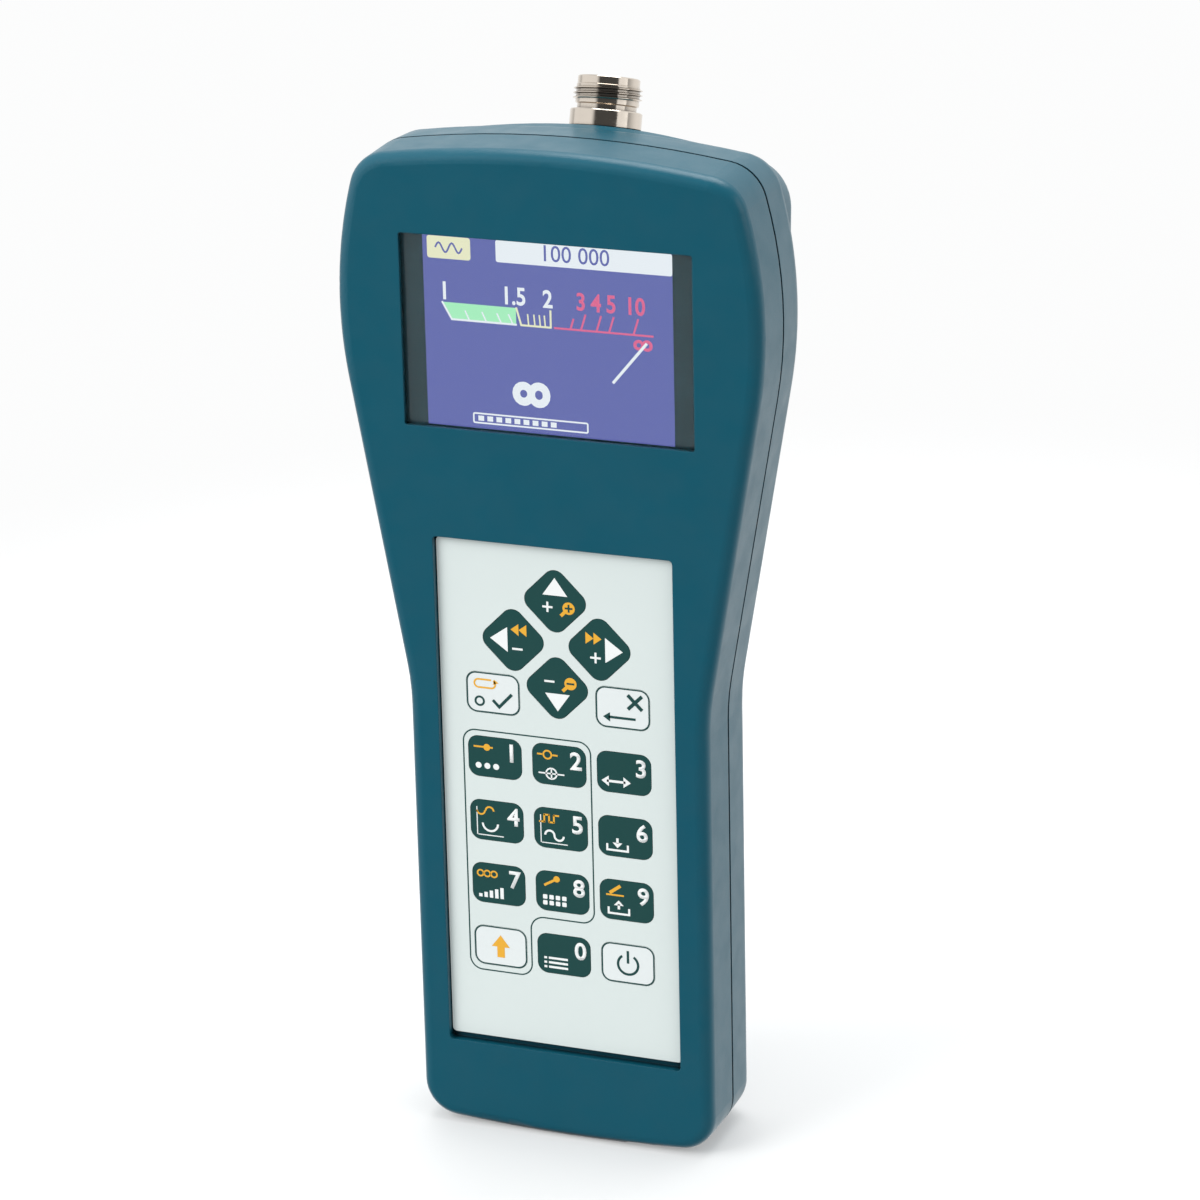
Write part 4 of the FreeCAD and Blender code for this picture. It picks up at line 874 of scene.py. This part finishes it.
    def ok_sign(self, mark, place):
        """A check mark with a dark dot, and an ochre loop arrow above it."""
        x, z, thin = place.x, place.z, 0.42 * MM
        points = [(-0.35, -1.9), (0.15, -1.4), (1.45, -2.7), (4.4, 0.45), (4.95, -0.05), (1.45, -3.75)]
        mark.outline([(px * MM, pz * MM) for px, pz in points], x, z, 0.0, 2)
        mark.disc(x - 3.4 * MM, z - 2.2 * MM, 1.3 * MM, 2, 28, 0.5 * MM)
        mark.arc(x - 3.6 * MM, z + 2.2 * MM, 1.0 * MM, thin, 90, 270, 1, 16)
        mark.arc(x - 0.4 * MM, z + 2.2 * MM, 1.0 * MM, thin, -90, 60, 1, 16)
        for side in (-1, 1):
            mark.bar(x - 2.0 * MM, z + (2.2 + side) * MM, 3.2 * MM, thin, 0.0, 1)
        mark.triangle(x + 0.55 * MM, z + 2.9 * MM, 1.5 * MM, 1.1 * MM, math.radians(20), 1)

    def cancel_sign(self, mark, place):
        """A cross, and an arrow that turns back below it."""
        x, z = place.x, place.z
        for way in (1, -1):
            mark.bar(x + 3.0 * MM, z + 1.7 * MM, 4.9 * MM, 0.85 * MM, 0.0, 2, math.radians(45 * way))
            mark.lift(way)
        mark.bar(x - 0.2 * MM, z - 2.4 * MM, 6.6 * MM, 0.6 * MM, 0.0, 2)
        mark.triangle(x - 4.0 * MM, z - 2.4 * MM, 2.3 * MM, 1.7 * MM, math.radians(90), 2)


class ANALYZER_OT_stage(bpy.types.Operator):
    """Set the camera, the floor and the soft studio light"""
    bl_idname = "analyzer.stage"
    bl_label = "Studio"

    def execute(self, context):
        look = context.scene.analyzer_stage
        scene = context.scene
        scene.view_settings.view_transform = "Standard"
        self.camera(scene, look)
        self.floor(scene, look)
        self.world(scene)
        for lamp in LAMPS:
            self.lamp(scene, *lamp)
        return {"FINISHED"}

    def camera(self, scene, look):
        data = bpy.data.cameras.new("camera")
        data.lens = look.focal
        data.sensor_width = 36.0
        data.sensor_fit = "HORIZONTAL"
        data.clip_end = 20.0
        turn = Matrix((CAMERA_RIGHT, CAMERA_UP, CAMERA_RIGHT.cross(CAMERA_UP))).transposed().to_4x4()
        item = bpy.data.objects.new("camera", data)
        item.matrix_world = Matrix.Translation(look.eye) @ turn
        scene.collection.objects.link(item)
        scene.camera = item

    def floor(self, scene, look):
        """A pale floor that fades into the white surroundings at its rim."""
        bm = bmesh.new()
        bmesh.ops.create_circle(bm, cap_ends=True, segments=96, radius=look.floor_radius)
        bmesh.ops.translate(bm, verts=bm.verts, vec=(0, look.floor_back, 0))
        mesh = bpy.data.meshes.new("floor")
        bm.to_mesh(mesh)
        bm.free()
        item = bpy.data.objects.new("floor", mesh)
        scene.collection.objects.link(item)
        material, tree, shader = new_material("floor_paper")
        shader.inputs["Base Color"].default_value = (0.84, 0.85, 0.85, 1.0)
        tree.links.new(spread(tree, object_noise(tree, 40 * MM), 0.45, 0.55), shader.inputs["Roughness"])
        place = new_node(tree, "TexCoord", {})
        shift = new_node(tree, "Mapping", {"Location": (0, -look.floor_back, 0)})
        reach = new_node(tree, "VectorMath", {}, operation="LENGTH")
        fade = new_node(tree, "MapRange",
                        {"From Min": look.fade_start, "From Max": look.fade_end, "To Min": 0.3},
                        interpolation_type="SMOOTHSTEP")
        bare = new_node(tree, "BsdfTransparent", {})
        blend = new_node(tree, "MixShader", {})
        tree.links.new(place.outputs["Object"], shift.inputs["Vector"])
        tree.links.new(shift.outputs["Vector"], reach.inputs[0])
        tree.links.new(reach.outputs["Value"], fade.inputs["Value"])
        tree.links.new(fade.outputs["Result"], blend.inputs["Fac"])
        tree.links.new(shader.outputs["BSDF"], blend.inputs[1])
        tree.links.new(bare.outputs["BSDF"], blend.inputs[2])
        tree.links.new(blend.outputs["Shader"], tree.nodes["Material Output"].inputs["Surface"])
        mesh.materials.append(material)
        item.visible_glossy = False

    def world(self, scene):
        """White behind everything; reflections see dark in front, pale behind and a pane at the left."""
        world = bpy.data.worlds.new("studio")
        world.use_nodes = True
        tree = world.node_tree
        place = new_node(tree, "TexCoord", {})
        split = new_node(tree, "SeparateXYZ", {})
        room = new_node(tree, "MapRange", {"From Min": -0.35, "From Max": 0.75, "To Min": 0.08},
                        interpolation_type="SMOOTHSTEP")
        aim = new_node(tree, "VectorMath", {}, operation="DOT_PRODUCT")
        aim.inputs[1].default_value = Vector((-0.85, -0.35, 0.4)).normalized()
        pane = new_node(tree, "MapRange", {"From Min": 0.62, "From Max": 0.82},
                        interpolation_type="SMOOTHSTEP")
        pale = new_node(tree, "Math", {}, operation="MAXIMUM")
        tree.links.new(place.outputs["Generated"], split.inputs["Vector"])
        tree.links.new(split.outputs["Y"], room.inputs["Value"])
        tree.links.new(place.outputs["Generated"], aim.inputs[0])
        tree.links.new(aim.outputs["Value"], pane.inputs["Value"])
        tree.links.new(room.outputs["Result"], pale.inputs[0])
        tree.links.new(pane.outputs["Result"], pale.inputs[1])
        light = new_node(tree, "LightPath", {})
        seen = new_node(tree, "Math", {}, operation="MAXIMUM")
        tree.links.new(light.outputs["Is Camera Ray"], seen.inputs[0])
        tree.links.new(light.outputs["Is Transmission Ray"], seen.inputs[1])
        glossy = mix_colors(tree, (0.70, 0.71, 0.72), pale.outputs[0])
        tree.links.new(light.outputs["Is Glossy Ray"], glossy.inputs["Factor"])
        mix = mix_colors(tree, glossy.outputs["Result"], (0.975, 0.978, 0.978))
        tree.links.new(seen.outputs[0], mix.inputs["Factor"])
        tree.links.new(mix.outputs["Result"], tree.nodes["Background"].inputs["Color"])
        world.cycles.sampling_method = "NONE"
        scene.world = world

    def lamp(self, scene, name, place, side, power, glossy):
        """A square soft light aimed at the middle of the part."""
        data = bpy.data.lights.new(name, "AREA")
        data.size = side
        data.energy = power
        item = bpy.data.objects.new(name, data)
        item.location = place
        item.visible_glossy = glossy
        aim = LAMP_AIM - Vector(place)
        item.rotation_euler = aim.to_track_quat("-Z", "Y").to_euler()
        scene.collection.objects.link(item)


PIECES = (ANALYZER_OT_stage, ANALYZER_OT_case, ANALYZER_OT_hardware, ANALYZER_OT_socket, ANALYZER_OT_display,
          ANALYZER_OT_keypad, ANALYZER_OT_legends)
GROUPS = {"analyzer_case": AnalyzerCase, "analyzer_keypad": AnalyzerKeypad,
          "analyzer_display": AnalyzerDisplay,
          "analyzer_socket": AnalyzerSocket, "analyzer_stage": AnalyzerStage}


class ANALYZER_PT_panel(bpy.types.Panel):
    """Sizes, colors and pieces of the analyzer"""
    bl_label = "Antenna analyzer"
    bl_idname = "ANALYZER_PT_panel"
    bl_space_type = "VIEW_3D"
    bl_region_type = "UI"
    bl_category = "Analyzer"

    def draw(self, context):
        for attribute, group in GROUPS.items():
            settings = getattr(context.scene, attribute)
            box = self.layout.box()
            for prop in group.__annotations__:
                box.prop(settings, prop)
        for piece in PIECES:
            self.layout.operator(piece.bl_idname)


def register():
    for group in GROUPS.values():
        bpy.utils.register_class(group)
    for piece in PIECES:
        bpy.utils.register_class(piece)
    bpy.utils.register_class(ANALYZER_PT_panel)
    for attribute, group in GROUPS.items():
        setattr(bpy.types.Scene, attribute, bpy.props.PointerProperty(type=group))


def unregister():
    for attribute in GROUPS:
        delattr(bpy.types.Scene, attribute)
    bpy.utils.unregister_class(ANALYZER_PT_panel)
    for piece in reversed(PIECES):
        bpy.utils.unregister_class(piece)
    for group in reversed(GROUPS.values()):
        bpy.utils.unregister_class(group)


def main():
    register()
    bpy.ops.analyzer.stage()
    bpy.ops.analyzer.case()
    bpy.ops.analyzer.hardware()
    bpy.ops.analyzer.socket()
    bpy.ops.analyzer.display()
    bpy.ops.analyzer.keypad()
    bpy.ops.analyzer.legends()


if __name__ == "__main__":
    main()
